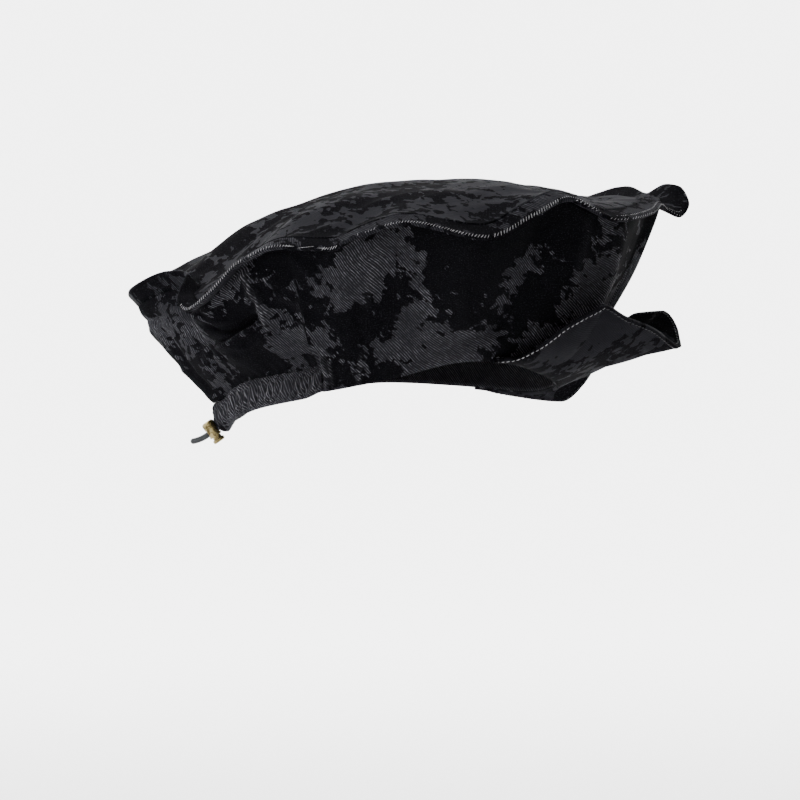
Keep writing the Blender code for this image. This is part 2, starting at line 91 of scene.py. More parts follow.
def spun(name, profile, steps, weld=WELD):
    """An object turned round +Z from a profile of (radius, height) points in metres."""
    mesh = bpy.data.meshes.new(name)
    with edited(mesh) as work:
        line = [work.verts.new((radius, 0.0, height)) for radius, height in profile]
        edges = [work.edges.new(pair) for pair in zip(line, line[1:])]
        middle = {"axis": (0, 0, 1), "cent": (0, 0, 0)}
        bmesh.ops.spin(work, geom=line + edges, angle=2 * math.pi, steps=steps, **middle)
        bmesh.ops.remove_doubles(work, verts=work.verts, dist=weld)
        bmesh.ops.recalc_face_normals(work, faces=work.faces)
    return put(name, mesh)


def new_material(name, constants):
    """A material, its tree and its shader, with the values that are the same all over."""
    made = bpy.data.materials.new(name)
    made.use_nodes = True
    shader = made.node_tree.nodes["Principled BSDF"]
    for socket, value in constants.items():
        shader.inputs[socket].default_value = value
    return made, made.node_tree, shader


def table(names, *rows):
    """Rows whose columns have names."""
    row = namedtuple("Row", names)
    return tuple(row(*values) for values in rows)


print("helpers ready")

# %% [markdown]
# The camera stands level with the hat, a little above it, and far away with a long lens, as the
# photograph was taken. A short lens close by would make the near edge look much larger than the far one.
# Its place is written as an offset from the middle of the head opening, which is the frame's origin.
# %% Camera
CAMERA_AWAY = 2.4
CAMERA_RISE = math.radians(0.7)
CAMERA_RIGHT = 0.0066
CAMERA_DOWN = 0.0017
VIEW_WIDTH = 0.4616
SENSOR = 36.0

looking = Vector((0.0, math.cos(CAMERA_RISE), -math.sin(CAMERA_RISE)))
upwards = Vector((0.0, math.sin(CAMERA_RISE), math.cos(CAMERA_RISE)))
camera_data = bpy.data.cameras.new("camera")
camera_data.sensor_width = SENSOR
camera_data.lens = SENSOR * CAMERA_AWAY / VIEW_WIDTH
camera = put("camera", camera_data)
camera.location = Vector((CAMERA_RIGHT, 0, 0)) - looking * CAMERA_AWAY - upwards * CAMERA_DOWN
camera.rotation_euler = looking.to_track_quat("-Z", "Y").to_euler()
bpy.context.scene.camera = camera
print("lens", round(camera_data.lens, 1), "mm")

# %% [markdown]
# The studio is a pale bowl: a round floor that curves up into a wall all round, so that the floor has no
# edge behind the hat from any side.
# It has lamps of its own, so that it stays bright while the hat's near side, which leans down and away
# from the light, stays dark. The hat's main light is large, for soft shadows, and stands to the left and
# above: it rakes over the folds of the back and lights the top more than the wall.
# %% Studio
FLOOR_DROP = 0.30
FLOOR_RADIUS = 3.2
BOWL_ROUND = 1.4
BOWL_TOP = 2.6
BOWL_STEPS = 16
BOWL_SIDES = 96
BOWL_WELD = 0.0001
PAPER = {"Base Color": (0.9, 0.9, 0.9, 1.0), "Roughness": 0.9, "Specular IOR Level": 0.1}
WORLD_LIGHT = 0.46


def make_bowl(floor):
    """The floor and the wall round it in one piece."""
    profile = [(0.0, floor)]
    for turn in np.linspace(0.0, math.pi / 2, BOWL_STEPS + 1):
        climb = BOWL_ROUND * (1 - math.cos(turn))
        profile.append((FLOOR_RADIUS + BOWL_ROUND * math.sin(turn), floor + climb))
    profile.append((FLOOR_RADIUS + BOWL_ROUND, BOWL_TOP))
    made = spun("studio_bowl", profile, BOWL_SIDES, BOWL_WELD)
    made.data.shade_smooth()
    made.data.materials.append(new_material("paper", PAPER)[0])
    return made


bowl = make_bowl(cad_box[0][2] - FLOOR_DROP)
world = bpy.data.worlds.new("studio")
world.use_nodes = True
background = world.node_tree.nodes["Background"].inputs
background["Color"].default_value = (1.0, 1.0, 1.0, 1.0)
background["Strength"].default_value = WORLD_LIGHT
bpy.context.scene.world = world

LIGHTS = table(
    "name place aim size power",
    ("main_light", (-1.5, -0.7, 1.3), (0, 0, 0.05), 1.2, 42),
    ("overhead_light", (0.4, 0.2, 1.7), (0, 0, 0.05), 1.4, 22),
    ("fill_light", (-0.8, -2.4, 0.5), (0, 0, 0.05), 1.4, 8),
    ("backdrop_light_left", (-1.8, 2.0, 2.4), (-0.6, 4.0, -0.1), 1.2, 300),
    ("backdrop_light_right", (1.8, 2.0, 2.4), (0.6, 4.0, -0.1), 1.2, 300),
)
for row in LIGHTS:
    light = bpy.data.lights.new(row.name, "AREA")
    light.shape = "SQUARE"
    light.size = row.size
    light.energy = row.power
    lamp = put(row.name, light)
    lamp.location = row.place
    lamp.rotation_euler = (Vector(row.aim) - lamp.location).to_track_quat("-Z", "Y").to_euler()
    lamp.visible_camera = False
print("floor at", round(cad_box[0][2] - FLOOR_DROP, 3), "lights", len(LIGHTS))

# %% [markdown]
# The bright bowl would also light the front of the hat, which stays dark in the photograph. A black card
# just out of the picture takes that light away, as a photographer's flag does. Its foot stands a little
# below the floor, so in views from behind its shadow starts there at a straight line.
# %% A black card
CARD_PLACE = (0.52, -0.30, -0.04)
CARD_SIZE = 0.62
FELT = {"Base Color": (0.01, 0.01, 0.01, 1.0), "Roughness": 1.0}


def make_card():
    """An upright black card that faces the peak. The camera doesn't see it."""
    half = CARD_SIZE / 2
    corners = [(0.0, -half, -half), (0.0, half, -half), (0.0, half, half), (0.0, -half, half)]
    mesh = bpy.data.meshes.new("black_card")
    mesh.from_pydata(corners, [], [(0, 1, 2, 3)])
    mesh.materials.append(new_material("black_felt", FELT)[0])
    way = Vector((-1.0, -CARD_PLACE[1] / CARD_PLACE[0], 0.0))
    mesh.transform(Matrix.Translation(CARD_PLACE) @ way.to_track_quat("X", "Z").to_matrix().to_4x4())
    made = put("black_card", mesh)
    made.visible_camera = False
    return made


card = make_card()
print("card", CARD_SIZE, "m wide")

# %% [markdown]
# The hat's form is the construction's form, so these tables repeat the same named sections: the rippled
# welt, the head opening, the dome and the wall's big folds. Reading them as smooth curves lets the cloth
# below have six times as many columns as the solids, which is what fine gathers and creases need.
# %% The hat's sections
CLOTH = 1.6
WELT_THICK = 3.0
WELT_ROUND = 1.5
SEAM_RETREAT = 1.3

CROWN_EDGE = table(
    "angle reach height root_rise width",
    (-176, 149, 62, -8, 10),
    (-163, 131, 72, -9, 10),
    (-156.5, 125, 71, -8, 10),
    (-146.5, 140.5, 53.5, 2, 10),
    (-142.5, 141.5, 49, 4, 10),
    (-134, 139.5, 60, 5, 10),
    (-127, 138, 74, 4, 10),
    (-116, 136, 83, 4, 10),
    (-104, 136, 81.5, 5, 10),
    (-96, 135, 89.5, 4, 10),
    (-85.5, 138.5, 95.5, 4, 10),
    (-69, 149, 87.5, 6, 10),
    (-57, 147.5, 100, 6, 10),
    (-46, 145, 110, 3, 10),
    (-33, 152, 99.5, 4, 10),
    (-16, 157, 105, 3, 10),
    (-8, 158, 110, 2, 10),
    (-2, 160.5, 108, 4, 11),
    (3, 169.5, 104.5, 6, 13),
    (6.5, 176, 113, 0.5, 17),
    (9.5, 173, 122, -7, 15),
    (12.5, 167, 124, -7, 11),
    (17, 161, 118.5, -3, 8),
    (28, 160, 124, -6, 10),
    (45, 152, 113, 0, 10),
    (64, 147, 97, 5, 10),
    (85, 141, 104, 2, 10),
    (114, 144, 84, 5, 10),
    (134, 137, 88, 0, 10),
    (154, 147, 71, 3, 10),
    (172, 150.5, 58.5, -6, 10),
)

RIM = table(
    "angle reach height belly",
    (-180, 90.5, -20, 0.3),
    (-165, 89.5, -12, 0.4),
    (-150, 88, -5.5, 0.6),
    (-120, 85, 2.5, 0.5),
    (-90, 84, 11, 0.4),
    (-60, 86, 21, 0.4),
    (-45, 88.5, 21.5, 0.45),
    (-25, 93, 15, 0.5),
    (0, 95, 7, 0.5),
    (30, 92, 2.5, 0.5),
    (60, 86, 6, 0.4),
    (90, 84, 8, 0.4),
    (120, 85, 3, 0.5),
    (150, 88, -5, 0.6),
    (165, 89.5, -12, 0.4),
)

DOME = table(
    "out rise",
    (0.0, 1.0),
    (0.13, 0.98),
    (0.28, 0.915),
    (0.425, 0.81),
    (0.57, 0.69),
    (0.685, 0.54),
    (0.84, 0.245),
    (0.93, 0.09),
    (1.0, 0.0),
)
CROWN_PLACE = 20.0
CROWN_HEIGHT = 124.7
EDGE_MEAN = 87.0
EDGE_CLIMB = 0.2
RIPPLE_FADE = 3

FOLDS = table(
    "from_angle from_rise to_angle to_rise width depth",
    (-129, 0.90, -126, 0.42, 4.5, 3.2),
    (-138, 0.82, -134, 0.58, 11, -5.5),
    (-145, 0.70, -131, 0.50, 5, -4.5),
    (-147, 0.40, -130, 0.47, 4.5, 4.5),
    (-141, 0.26, -131, 0.28, 11, 6),
    (-125, 0.24, -118, 0.30, 10, 3.5),
    (-149, 0.78, -155, 0.28, 5, 5),
    (-164, 0.80, -166, 0.15, 7, 3),
    (-174, 0.90, -176, 0.12, 6, -5),
    (172, 0.75, 168, 0.20, 9, 4),
    (154, 0.85, 158, 0.20, 8, -6),
    (140, 0.70, 128, 0.35, 9, -5),
    (-115, 0.02, -114, 0.26, 3, -3),
    (-108, 0.62, -100, 0.40, 18, -1.5),
    (-66, 0.14, -50, 0.20, 6, -2.5),
    (-92, 0.88, -96, 0.55, 5, 2.2),
    (-45, 1.00, -50, 0.30, 14, -4),
    (-24, 0.95, -16, 0.35, 9, 3),
    (44, 0.95, 50, 0.30, 12, 4),
    (100, 0.90, 96, 0.30, 14, -4),
)
FOLD_RADIUS = 112.0
FOLD_HEIGHT = 92.0

CREASES = table(
    "from_angle from_rise to_angle to_rise width depth worn",
    (-128.5, 0.88, -126.5, 0.36, 0.9, 1.0, 1.0),
    (-145, 0.42, -133, 0.49, 1.6, 1.2, 0.35),
    (-151, 0.78, -152, 0.45, 1.5, 1.4, 0.6),
    (-157, 0.86, -163, 0.30, 1.8, 1.2, 0.3),
    (-112.8, 0.0, -111.6, 0.24, 1.1, 1.8, 0.6),
    (-110.6, 0.0, -109.8, 0.20, 1.1, 1.6, 0.5),
    (-114.6, 0.08, -113.9, 0.30, 1.6, -2.0, 0.0),
    (-101, 0.0, -99, 0.20, 2.0, 0.9, 0.3),
    (-36, 0.98, -34, 0.55, 3.0, 1.2, 0.1),
    (112.8, 0.0, 111.6, 0.26, 1.5, 2.0, 0.5),
    (131, 0.86, 128, 0.40, 1.6, 1.4, 0.5),
    (149, 0.80, 153, 0.35, 1.8, 1.3, 0.3),
)

CASING_END = 114.8
CASING_HEIGHT = 14.0
CASING_HEIGHT_MORE = 3.0
CASING_THICK = 4.2
BUNCH_DEPTH = 6.8
BUNCH_ANGLE = 6.0
BUNCH_FOOT_SHARE = 0.35
WALL_TUCK = 1.2
FOOT_LOW_END = 114.7
FOOT_HIGH_END = 115.9
print("welt rows", len(CROWN_EDGE), "folds", len(FOLDS))

# %% [markdown]
# A table is read between its rows by a curve that is level on every crest and trough, so that a ripple
# never overshoots the size that its row gives. numpy reads a whole ring of angles in one call.
# %% Reading the sections
def read(rows, column, at):
    """A column of a table at places between its rows, as a smooth curve."""
    keys = np.array([row[0] for row in rows], float)
    values = np.array([getattr(row, column) for row in rows], float)
    rate = np.diff(values) / np.diff(keys)
    same_way = rate[:-1] * rate[1:] > 0
    total = np.where(same_way, rate[:-1] + rate[1:], 1.0)
    slopes = np.zeros(len(keys))
    slopes[1:-1] = np.where(same_way, 2 * rate[:-1] * rate[1:] / total, 0.0)
    index = np.clip(np.searchsorted(keys, at) - 1, 1, len(keys) - 3)
    span = keys[index + 1] - keys[index]
    share = (at - keys[index]) / span
    square, cube = share**2, share**3
    return (
        values[index] * (2 * cube - 3 * square + 1)
        + slopes[index] * span * (cube - 2 * square + share)
        + values[index + 1] * (3 * square - 2 * cube)
        + slopes[index + 1] * span * (cube - square)
    )


def ring(rows):
    """A table of angles with its ends repeated one turn on, so that it reads smoothly all round."""
    turned_back = tuple(row._replace(angle=row.angle - 360) for row in rows[-3:])
    turned_on = tuple(row._replace(angle=row.angle + 360) for row in rows[:3])
    return turned_back + rows + turned_on


def open_ended(rows):
    """A table with an extra row mirrored past each end."""
    key = rows[0]._fields[0]
    first = rows[0]._replace(**{key: 2 * rows[0][0] - rows[1][0]})
    last = rows[-1]._replace(**{key: 2 * rows[-1][0] - rows[-2][0]})
    return (first,) + rows + (last,)


EDGE_RING = ring(CROWN_EDGE)
RIM_RING = ring(RIM)
DOME_LINE = open_ended(DOME)


def place(angle, reach, height):
    """Points in millimetres at an angle round the hat, a reach out from the middle and a height."""
    turn = np.radians(angle)
    return np.stack(np.broadcast_arrays(reach * np.cos(turn), reach * np.sin(turn), height), axis=-1)


def seam(angle):
    """The welt's root, and the ways outwards and up across it, each as (reach, height) arrays."""
    edge = np.stack([read(EDGE_RING, "reach", angle), read(EDGE_RING, "height", angle)], axis=-1)
    rise = read(EDGE_RING, "root_rise", angle)
    inwards = np.sqrt(read(EDGE_RING, "width", angle) ** 2 - rise**2)
    root = edge + np.stack([-inwards, rise], axis=-1)
    outwards = (edge - root) / np.linalg.norm(edge - root, axis=-1, keepdims=True)
    across = np.stack([-outwards[..., 1], outwards[..., 0]], axis=-1)
    return root, outwards, across


def ease(value):
    """0 below 0, 1 above 1, and a smooth step between."""
    share = np.clip(value, 0.0, 1.0)
    return share * share * (3 - 2 * share)


def edge_columns(count):
    """Angles whose columns are evenly spaced along the rippled edge."""
    angles = np.linspace(-180, 180, 3601)
    points = place(angles, read(EDGE_RING, "reach", angles), read(EDGE_RING, "height", angles))
    walk = np.concatenate([[0.0], np.cumsum(np.linalg.norm(np.diff(points, axis=0), axis=1))])
    return np.interp(walk[-1] * np.arange(count) / count, walk, angles), walk[-1]


COLUMNS = 620
columns, edge_length = edge_columns(COLUMNS)
print("the welt is", round(edge_length), "mm round")

# %% [markdown]
# Noise gives the small folds that no table could list. Blender's own Perlin noise is used: it is smooth,
# it has no seed, so every run gives the same cloth, and stretching its coordinates turns round bumps
# into long soft creases.
# %% Cloth noise
def cloth_noise(u, v, length_u, length_v, turn=0.0, layer=0.0):
    """Smooth noise from -1 to 1 over the cloth, with bumps of a size in millimetres, turned by an angle."""
    c, s = math.cos(math.radians(turn)), math.sin(math.radians(turn))
    a = (u * c + v * s) / length_u
    b = (v * c - u * s) / length_v
    flat = [noise.noise((x, y, layer)) for x, y in zip(a.ravel(), b.ravel())]
    return np.array(flat).reshape(a.shape) * 1.6


def ridged(value):
    """Turns noise into narrow ridges with wide soft valleys between them."""
    return 1 - 2 * np.abs(value)


print("noise at one place", round(noise.noise((0.3, 0.7, 0.1)), 3))

# %% [markdown]
# The wall is one flat arc of cloth bent round, so its weave fans out as a cone's does. Its uv map is that
# flat arc in metres: the twill then turns along the wall as it does on the real hat, from steep at the
# back to a gentler slant in front. The two halves meet in seams at the centre front and the centre back.
# %% The wall's flat pattern
PATTERN_LOW = 188.0
PATTERN_HIGH = 303.0
PATTERN_TURN = 0.478
HALF_SHIFT = 1.0


def wall_pattern(angle, rise, far_half):
    """The flat place on the cloth, in millimetres, of a point of the wall."""
    middle = np.where(far_half, 90.0, -90.0)
    turn = np.radians(angle - middle) * PATTERN_TURN
    radius = PATTERN_LOW + (PATTERN_HIGH - PATTERN_LOW) * rise
    shift = np.where(far_half, HALF_SHIFT / MM, 0.0)
    return np.stack(np.broadcast_arrays(radius * np.sin(turn) + shift, radius * np.cos(turn)), axis=-1)


print("the wall's flat arc is", PATTERN_HIGH - PATTERN_LOW, "mm tall")

# %% [markdown]
# A woven sheet is made as a grid of points turned into quads, because a grid keeps the folds' rows and
# columns and gives the uv map for free. Each face column has its own start and end in the uv map, so that
# a sheet which closes on itself can still end in a seam.
# %% Grids of cloth
UV_NAME = "cloth"


def crossed(first, second):
    """A grid of flat places from the columns' values and the rows' values."""
    return np.stack(np.broadcast_arrays(first[:, None], second[None, :]), axis=-1)


def cloth_grid(name, points, start, end=None, worn=0.0, flock=0.0, joined=(0, 0), turn_over=False):
    """A grid of points (columns, rows, xyz) in millimetres as a smooth mesh with its uv map and values.

    joined says whether the last column meets the first one, and the last row the first.
    """
    if end is None:
        start, end = start[:-1], start[1:]
    count, rows = points.shape[:2]
    index = np.arange(count * rows).reshape(count, rows)
    index = np.pad(index, ((0, joined[0]), (0, joined[1])), mode="wrap")
    corners = (index[:-1, :-1], index[1:, :-1], index[1:, 1:], index[:-1, 1:])
    faces = np.stack([corner.ravel() for corner in corners], axis=1)
    mesh = bpy.data.meshes.new(name)
    mesh.from_pydata((points.reshape(-1, 3) * MM).tolist(), [], faces.tolist())
    places = (start[:, :-1], end[:, :-1], end[:, 1:], start[:, 1:])
    layer = mesh.uv_layers.new(name=UV_NAME)
    layer.data.foreach_set("uv", (np.stack(places, axis=2) * MM).astype(np.float32).ravel())
    for key, values in (("worn", worn), ("flock", flock)):
        attribute = mesh.attributes.new(key, "FLOAT", "POINT")
        spread = np.broadcast_to(values, (count, rows)).astype(np.float32)
        attribute.data.foreach_set("value", spread.ravel())
    with edited(mesh) as work:
        if turn_over:
            bmesh.ops.reverse_faces(work, faces=work.faces)
        bmesh.ops.remove_doubles(work, verts=work.verts, dist=WELD)
    mesh.shade_smooth()
    return put(name, mesh)


def thicken(sheet, thick):
    """Gives a sheet its cloth, half to each side, with its second material inside."""
    shell = sheet.modifiers.new("Cloth", "SOLIDIFY")
    shell.thickness = thick * MM
    shell.offset = 0.0
    shell.use_rim = True
    shell.material_offset = 1


print("every cloth's uv map is called", UV_NAME)

def hardness_of(points, closed):
    """How sharply each point stands out, from 0 on flat cloth to 1 on a crease's crest."""
    step = 3
    before = np.roll(points, step, axis=0)
    after = np.roll(points, -step, axis=0)
    if not closed:
        before[:step] = points[:step]
        after[-step:] = points[-step:]
    out = points - (before + after) / 2
    flat = points * np.array([1.0, 1.0, 0.0])
    away = flat / np.maximum(np.linalg.norm(flat, axis=-1, keepdims=True), 1e-6)
    return np.clip((out * away).sum(axis=-1) / 1.1, 0.0, 1.0)


# %% [markdown]
# The wall rises from the hem in front, and from the gathered casing behind. The big folds come from the
# table, and so do the sharp creases, which are pressed in at the gathers and have rubbed the flock off
# their tops. The gathers fan up out of the casing and fade with height, drag lines pull from the welt's
# low points, and shallow noise keeps every stretch from looking ironed.
#
# Flock lies in broad dark and bare areas. Noise alone puts them anywhere, so a short table says where the
# cloth carries more of it or less, and the noise in the material still draws every ragged outline.
# %% The wall's surface
GATHERS = 88
GATHERS_START = 104
GATHER_RISE = 0.7
GATHER_FADE = 0.09
DRAG_RISE = 0.9
SLACK_RISE = 0.9
FRONT_SLACK = 0.35


def casing_height(angle):
    """How tall the gathered casing is, tallest at the middle of the back."""
    back = (np.abs(angle) - CASING_END) / (180 - CASING_END)
    return CASING_HEIGHT + CASING_HEIGHT_MORE * np.maximum(0.0, back)


def bunch(angle):
    """How far the cloth bunches out where the drawcord leaves the casing."""
    return BUNCH_DEPTH * np.exp(-(((180 - np.abs(angle)) / BUNCH_ANGLE) ** 2))


def wall_foot(angle):
    """The wall's lowest points: the hem in front and the top of the casing behind, with a climb between."""
    reach = read(RIM_RING, "reach", angle)
    height = read(RIM_RING, "height", angle)
    behind = ease((np.abs(angle) - FOOT_LOW_END) / (FOOT_HIGH_END - FOOT_LOW_END))
    front_foot = np.stack([reach + CLOTH / 2, height], axis=-1)
    back_reach = reach + CASING_THICK + bunch(angle) - WALL_TUCK
    back_foot = np.stack([back_reach, height + casing_height(angle)], axis=-1)
    return front_foot + (back_foot - front_foot) * behind[..., None]


def from_line(angle, rise, row):
    """The square of the distance over the wall from each point to a table row's line, in millimetres."""
    line = np.array([
        math.radians((row.to_angle - row.from_angle + 180) % 360 - 180) * FOLD_RADIUS,
        (row.to_rise - row.from_rise) * FOLD_HEIGHT,
    ])
    across = np.radians((angle - row.from_angle + 180) % 360 - 180) * FOLD_RADIUS
    up = (rise - row.from_rise) * FOLD_HEIGHT
    share = np.clip((across * line[0] + up * line[1]) / (line @ line), 0.0, 1.0)
    return (across - share * line[0]) ** 2 + (up - share * line[1]) ** 2


def fold_depth(angle, rise):
    """How far the listed folds push the wall out. They fade out at the seam and at the foot."""
    total = sum(fold.depth * np.exp(-from_line(angle, rise, fold) / fold.width**2) for fold in FOLDS)
    return total * np.minimum(1.0, 6 * rise) * np.minimum(1.0, 8 * (1 - rise))


def crease_depth(angle, rise):
    """How far the sharp creases push the wall out. They start at the foot and fade out at the seam."""
    total = sum(row.depth * np.exp(-np.sqrt(from_line(angle, rise, row)) / row.width) for row in CREASES)
    return total * np.minimum(1.0, 8 * (1 - rise))


def crease_wear(angle, rise):
    """Where the creases have rubbed the flock off, from 0 to 1."""
    total = sum(row.worn * np.exp(-from_line(angle, rise, row) / (0.8 * row.width) ** 2) for row in CREASES)
    return np.clip(total, 0.0, 1.0)


def small_folds(angle, rise):
    """The gathers, drag lines and slack that the table of folds leaves out."""
    u = np.radians(angle) * FOLD_RADIUS + np.zeros_like(rise)
    v = rise * FOLD_HEIGHT + np.zeros_like(u)
    behind = ease((np.abs(angle) - GATHERS_START) / 12)
    phase = GATHERS * np.radians(angle) + 3.0 * cloth_noise(u, v * 0, 17, 50, layer=3.1)
    gathers = behind * GATHER_RISE * np.sin(phase) * np.exp(-((rise / GATHER_FADE) ** 2))
    drag = ridged(cloth_noise(u, v, 34, 13, turn=-38, layer=7.7)) * DRAG_RISE * ease(rise * 2.2)
    slack = cloth_noise(u, v, 28, 24, layer=1.4) + 0.4 * cloth_noise(u, v, 12, 15, layer=5.2)
    ends = np.minimum(1.0, 7 * rise + 0.25) * np.minimum(1.0, 9 * (1 - rise))
    slack = slack * SLACK_RISE * (FRONT_SLACK + (1 - FRONT_SLACK) * behind)
    return (gathers + behind * drag + slack) * ends


def wall_surface(angle, rise):
    """The wall's middle surface, from the foot (rise 0) to the seam (rise 1), in millimetres."""
    foot = wall_foot(angle)
    root, outwards, across = seam(angle)
    top = root - SEAM_RETREAT * (outwards + across)
    swell = read(RIM_RING, "belly", angle) * rise * (1 - rise)
    reach = foot[..., 0] + (top[..., 0] - foot[..., 0]) * (rise + swell)
    reach = reach + fold_depth(angle, rise) + crease_depth(angle, rise) + small_folds(angle, rise)
    return place(angle, reach, foot[..., 1] + (top[..., 1] - foot[..., 1]) * rise)


FLOCKED = table(
    "angle rise size weight",
    (-176, 0.25, 16, 1.1),
    (-172, 1.0, 8, 1.0),
    (-158, 0.55, 22, -0.3),
    (-142, 0.58, 12, 1.2),
    (-135, 0.27, 15, 1.3),
    (-134, 0.73, 16, 1.2),
    (-130, 0.98, 9, -1.6),
    (-120, 0.84, 14, 1.0),
    (-118, 0.48, 10, 1.0),
    (-120, 0.20, 14, -1.4),
    (-107, 0.95, 8, 1.1),
    (-100, 0.69, 17, -1.4),
    (-100, 0.37, 17, 1.2),
    (-103, 0.12, 9, -0.5),
    (-89, 0.58, 8, 1.0),
    (-84, 0.37, 9, -0.9),
    (-80, 0.29, 6, 1.3),
    (-78, 0.18, 19, -1.1),
    (-68, 0.70, 17, 1.3),
    (-67, 0.46, 13, 1.2),
    (-56, 0.80, 14, 1.2),
    (-52, 0.47, 10, -1.1),
    (-60, 0.12, 14, -0.8),
    (-42, 0.38, 14, 1.2),
    (-41, 0.85, 12, 1.2),
    (-37, 0.16, 13, -1.3),
    (-25, 0.62, 20, -1.3),
    (0, 0.45, 24, -0.9),
    (-15, 0.84, 9, 1.0),
    (5, 0.98, 16, 1.0),
    (40, 0.55, 25, 0.8),
    (75, 0.45, 22, -0.8),
    (118, 0.60, 24, 0.8),
    (150, 0.40, 22, -0.7),
)


def flock_by_hand(angle, rise):
    """Where the listed rows want more flock (above 0) or less, on top of what the noise gives."""
    total = 0.0
    for row in FLOCKED:
        across = np.radians((angle - row.angle + 180) % 360 - 180) * FOLD_RADIUS
        distance = across**2 + ((rise - row.rise) * FOLD_HEIGHT) ** 2
        total = total + row.weight * np.exp(-distance / row.size**2)
    return total


WALL_ROWS = 60
all_round = columns[:, None]
rises = np.linspace(0.0, 1.0, WALL_ROWS + 1)[None, :]
column_ends = np.append(columns[1:], 180.0)[:, None]
far_half = (all_round + column_ends) / 2 > 0
wall_points = wall_surface(all_round, rises)
wall = cloth_grid(
    "crown_wall",
    wall_points,
    wall_pattern(all_round, rises, far_half),
    wall_pattern(column_ends, rises, far_half),
    worn=np.maximum(hardness_of(wall_points, closed=True) * 0.2, crease_wear(all_round, rises)),
    flock=flock_by_hand(all_round, rises),
    joined=(1, 0),
)
thicken(wall, CLOTH)
print("wall", len(wall.data.polygons), "faces before its thickness")

# %% [markdown]
# The top is one flat disc eased onto the rippled edge, so it domes where it has slack. Each ripple of the
# edge dies away inwards within a hand's width. Its pattern is flat, seen from above, as it was cut.
# In front the slack sags a few millimetres under its own weight, where no head holds it up.
# %% The top
TOP_ROWS = 58
TOP_DRAG = 1.3
TOP_SLACK = 1.0
TOP_SHIFT = np.array([0.0, 2000.0])
TOP_FLOCK_BEHIND = 0.2
TOP_FLOCK_FRONT = 0.3
SAG_PLACE = (123.0, 5.0)
SAG_SIZE = (36.0, 48.0)
SAG_DEPTH = 8.0


def top_surface(angle, out):
    """The top's middle surface, from its middle (out 0) to the seam (out 1), in millimetres."""
    root, outwards, across = seam(angle)
    end = root - SEAM_RETREAT * (outwards - across)
    middle = np.array([CROWN_PLACE, 0.0, 0.0])
    plan = middle + (place(angle, end[..., 0], 0.0) - middle) * out[..., None]
    plane = EDGE_MEAN + EDGE_CLIMB * end[..., 0] * np.cos(np.radians(angle))
    height = plane + (CROWN_HEIGHT - plane) * read(DOME_LINE, "rise", out)
    height = height + (end[..., 1] - plane) * out**RIPPLE_FADE
    x, y = plan[..., 0], plan[..., 1]
    drag = ridged(cloth_noise(x, y, 70, 22, turn=15, layer=2.6)) * TOP_DRAG * ease(out * 1.4 - 0.3)
    slack = cloth_noise(x, y, 34, 34, layer=8.8) + 0.45 * cloth_noise(x, y, 15, 13, layer=4.4)
    fade = np.minimum(1.0, 9 * (1 - out)) * np.minimum(1.0, 4 * out)
    away = ((x - SAG_PLACE[0]) / SAG_SIZE[0]) ** 2 + ((y - SAG_PLACE[1]) / SAG_SIZE[1]) ** 2
    sag = SAG_DEPTH * np.exp(-away)
    plan[..., 2] = height + (drag + slack * TOP_SLACK) * fade - sag * np.minimum(1.0, 6 * (1 - out))
    return plan


outs = np.broadcast_to(np.linspace(0.0, 1.0, TOP_ROWS + 1), (COLUMNS, TOP_ROWS + 1))
top_points = top_surface(all_round, outs)
top_pattern = top_points[..., :2] + TOP_SHIFT
front = top_points[..., 0]
top = cloth_grid(
    "crown_top_panel",
    top_points,
    top_pattern,
    np.roll(top_pattern, -1, axis=0),
    flock=TOP_FLOCK_BEHIND * ease((20 - front) / 90) - TOP_FLOCK_FRONT * ease(front / 60),
    joined=(1, 0),
    turn_over=True,
)
thicken(top, CLOTH)
print("top", len(top.data.polygons), "faces before its thickness")

# %% [markdown]
# The welt is the seam's allowance turned up into a soft roll. A rounded section is carried round the
# rippled edge, and its thickness swells and shrinks a little, as a hand-turned seam does.
# %% The welt
WELT_SIDES = 18
WELT_SWELL = 0.16
WELT_TUCK = 1.6
WELT_BARE_BEHIND = 0.35
WELT_BARE_START = 150
WELT_SHIFT = 3000.0
WELT_STRAIGHT = 4
WELT_FLOCK = 0.6
WELT_RUBBED = 0.45


def welt_section(angle, side):
    """The welt's surface at sides counted round its section, from its inner foot, in millimetres."""
    root, outwards, across = seam(angle)
    width = read(EDGE_RING, "width", angle)
    swell = cloth_noise(np.radians(angle) * 140, angle * 0, 9, 9, layer=6.3)
    half = WELT_THICK / 2 * (1 + WELT_SWELL * swell)
    straight = WELT_STRAIGHT
    turn = math.pi * (side - straight) / (WELT_SIDES - 1 - 2 * straight) - math.pi / 2
    flat = width - WELT_ROUND + WELT_TUCK
    if side < straight:
        along, up = flat * side / straight - WELT_TUCK, -half
    elif side > WELT_SIDES - 1 - straight:
        along, up = flat * (WELT_SIDES - 1 - side) / straight - WELT_TUCK, half
    else:
        along, up = width - WELT_ROUND + WELT_ROUND * math.cos(turn), half * math.sin(turn)
    corner = root + outwards * along[..., None] + across * up[..., None]
    return place(angle, corner[..., 0], corner[..., 1])


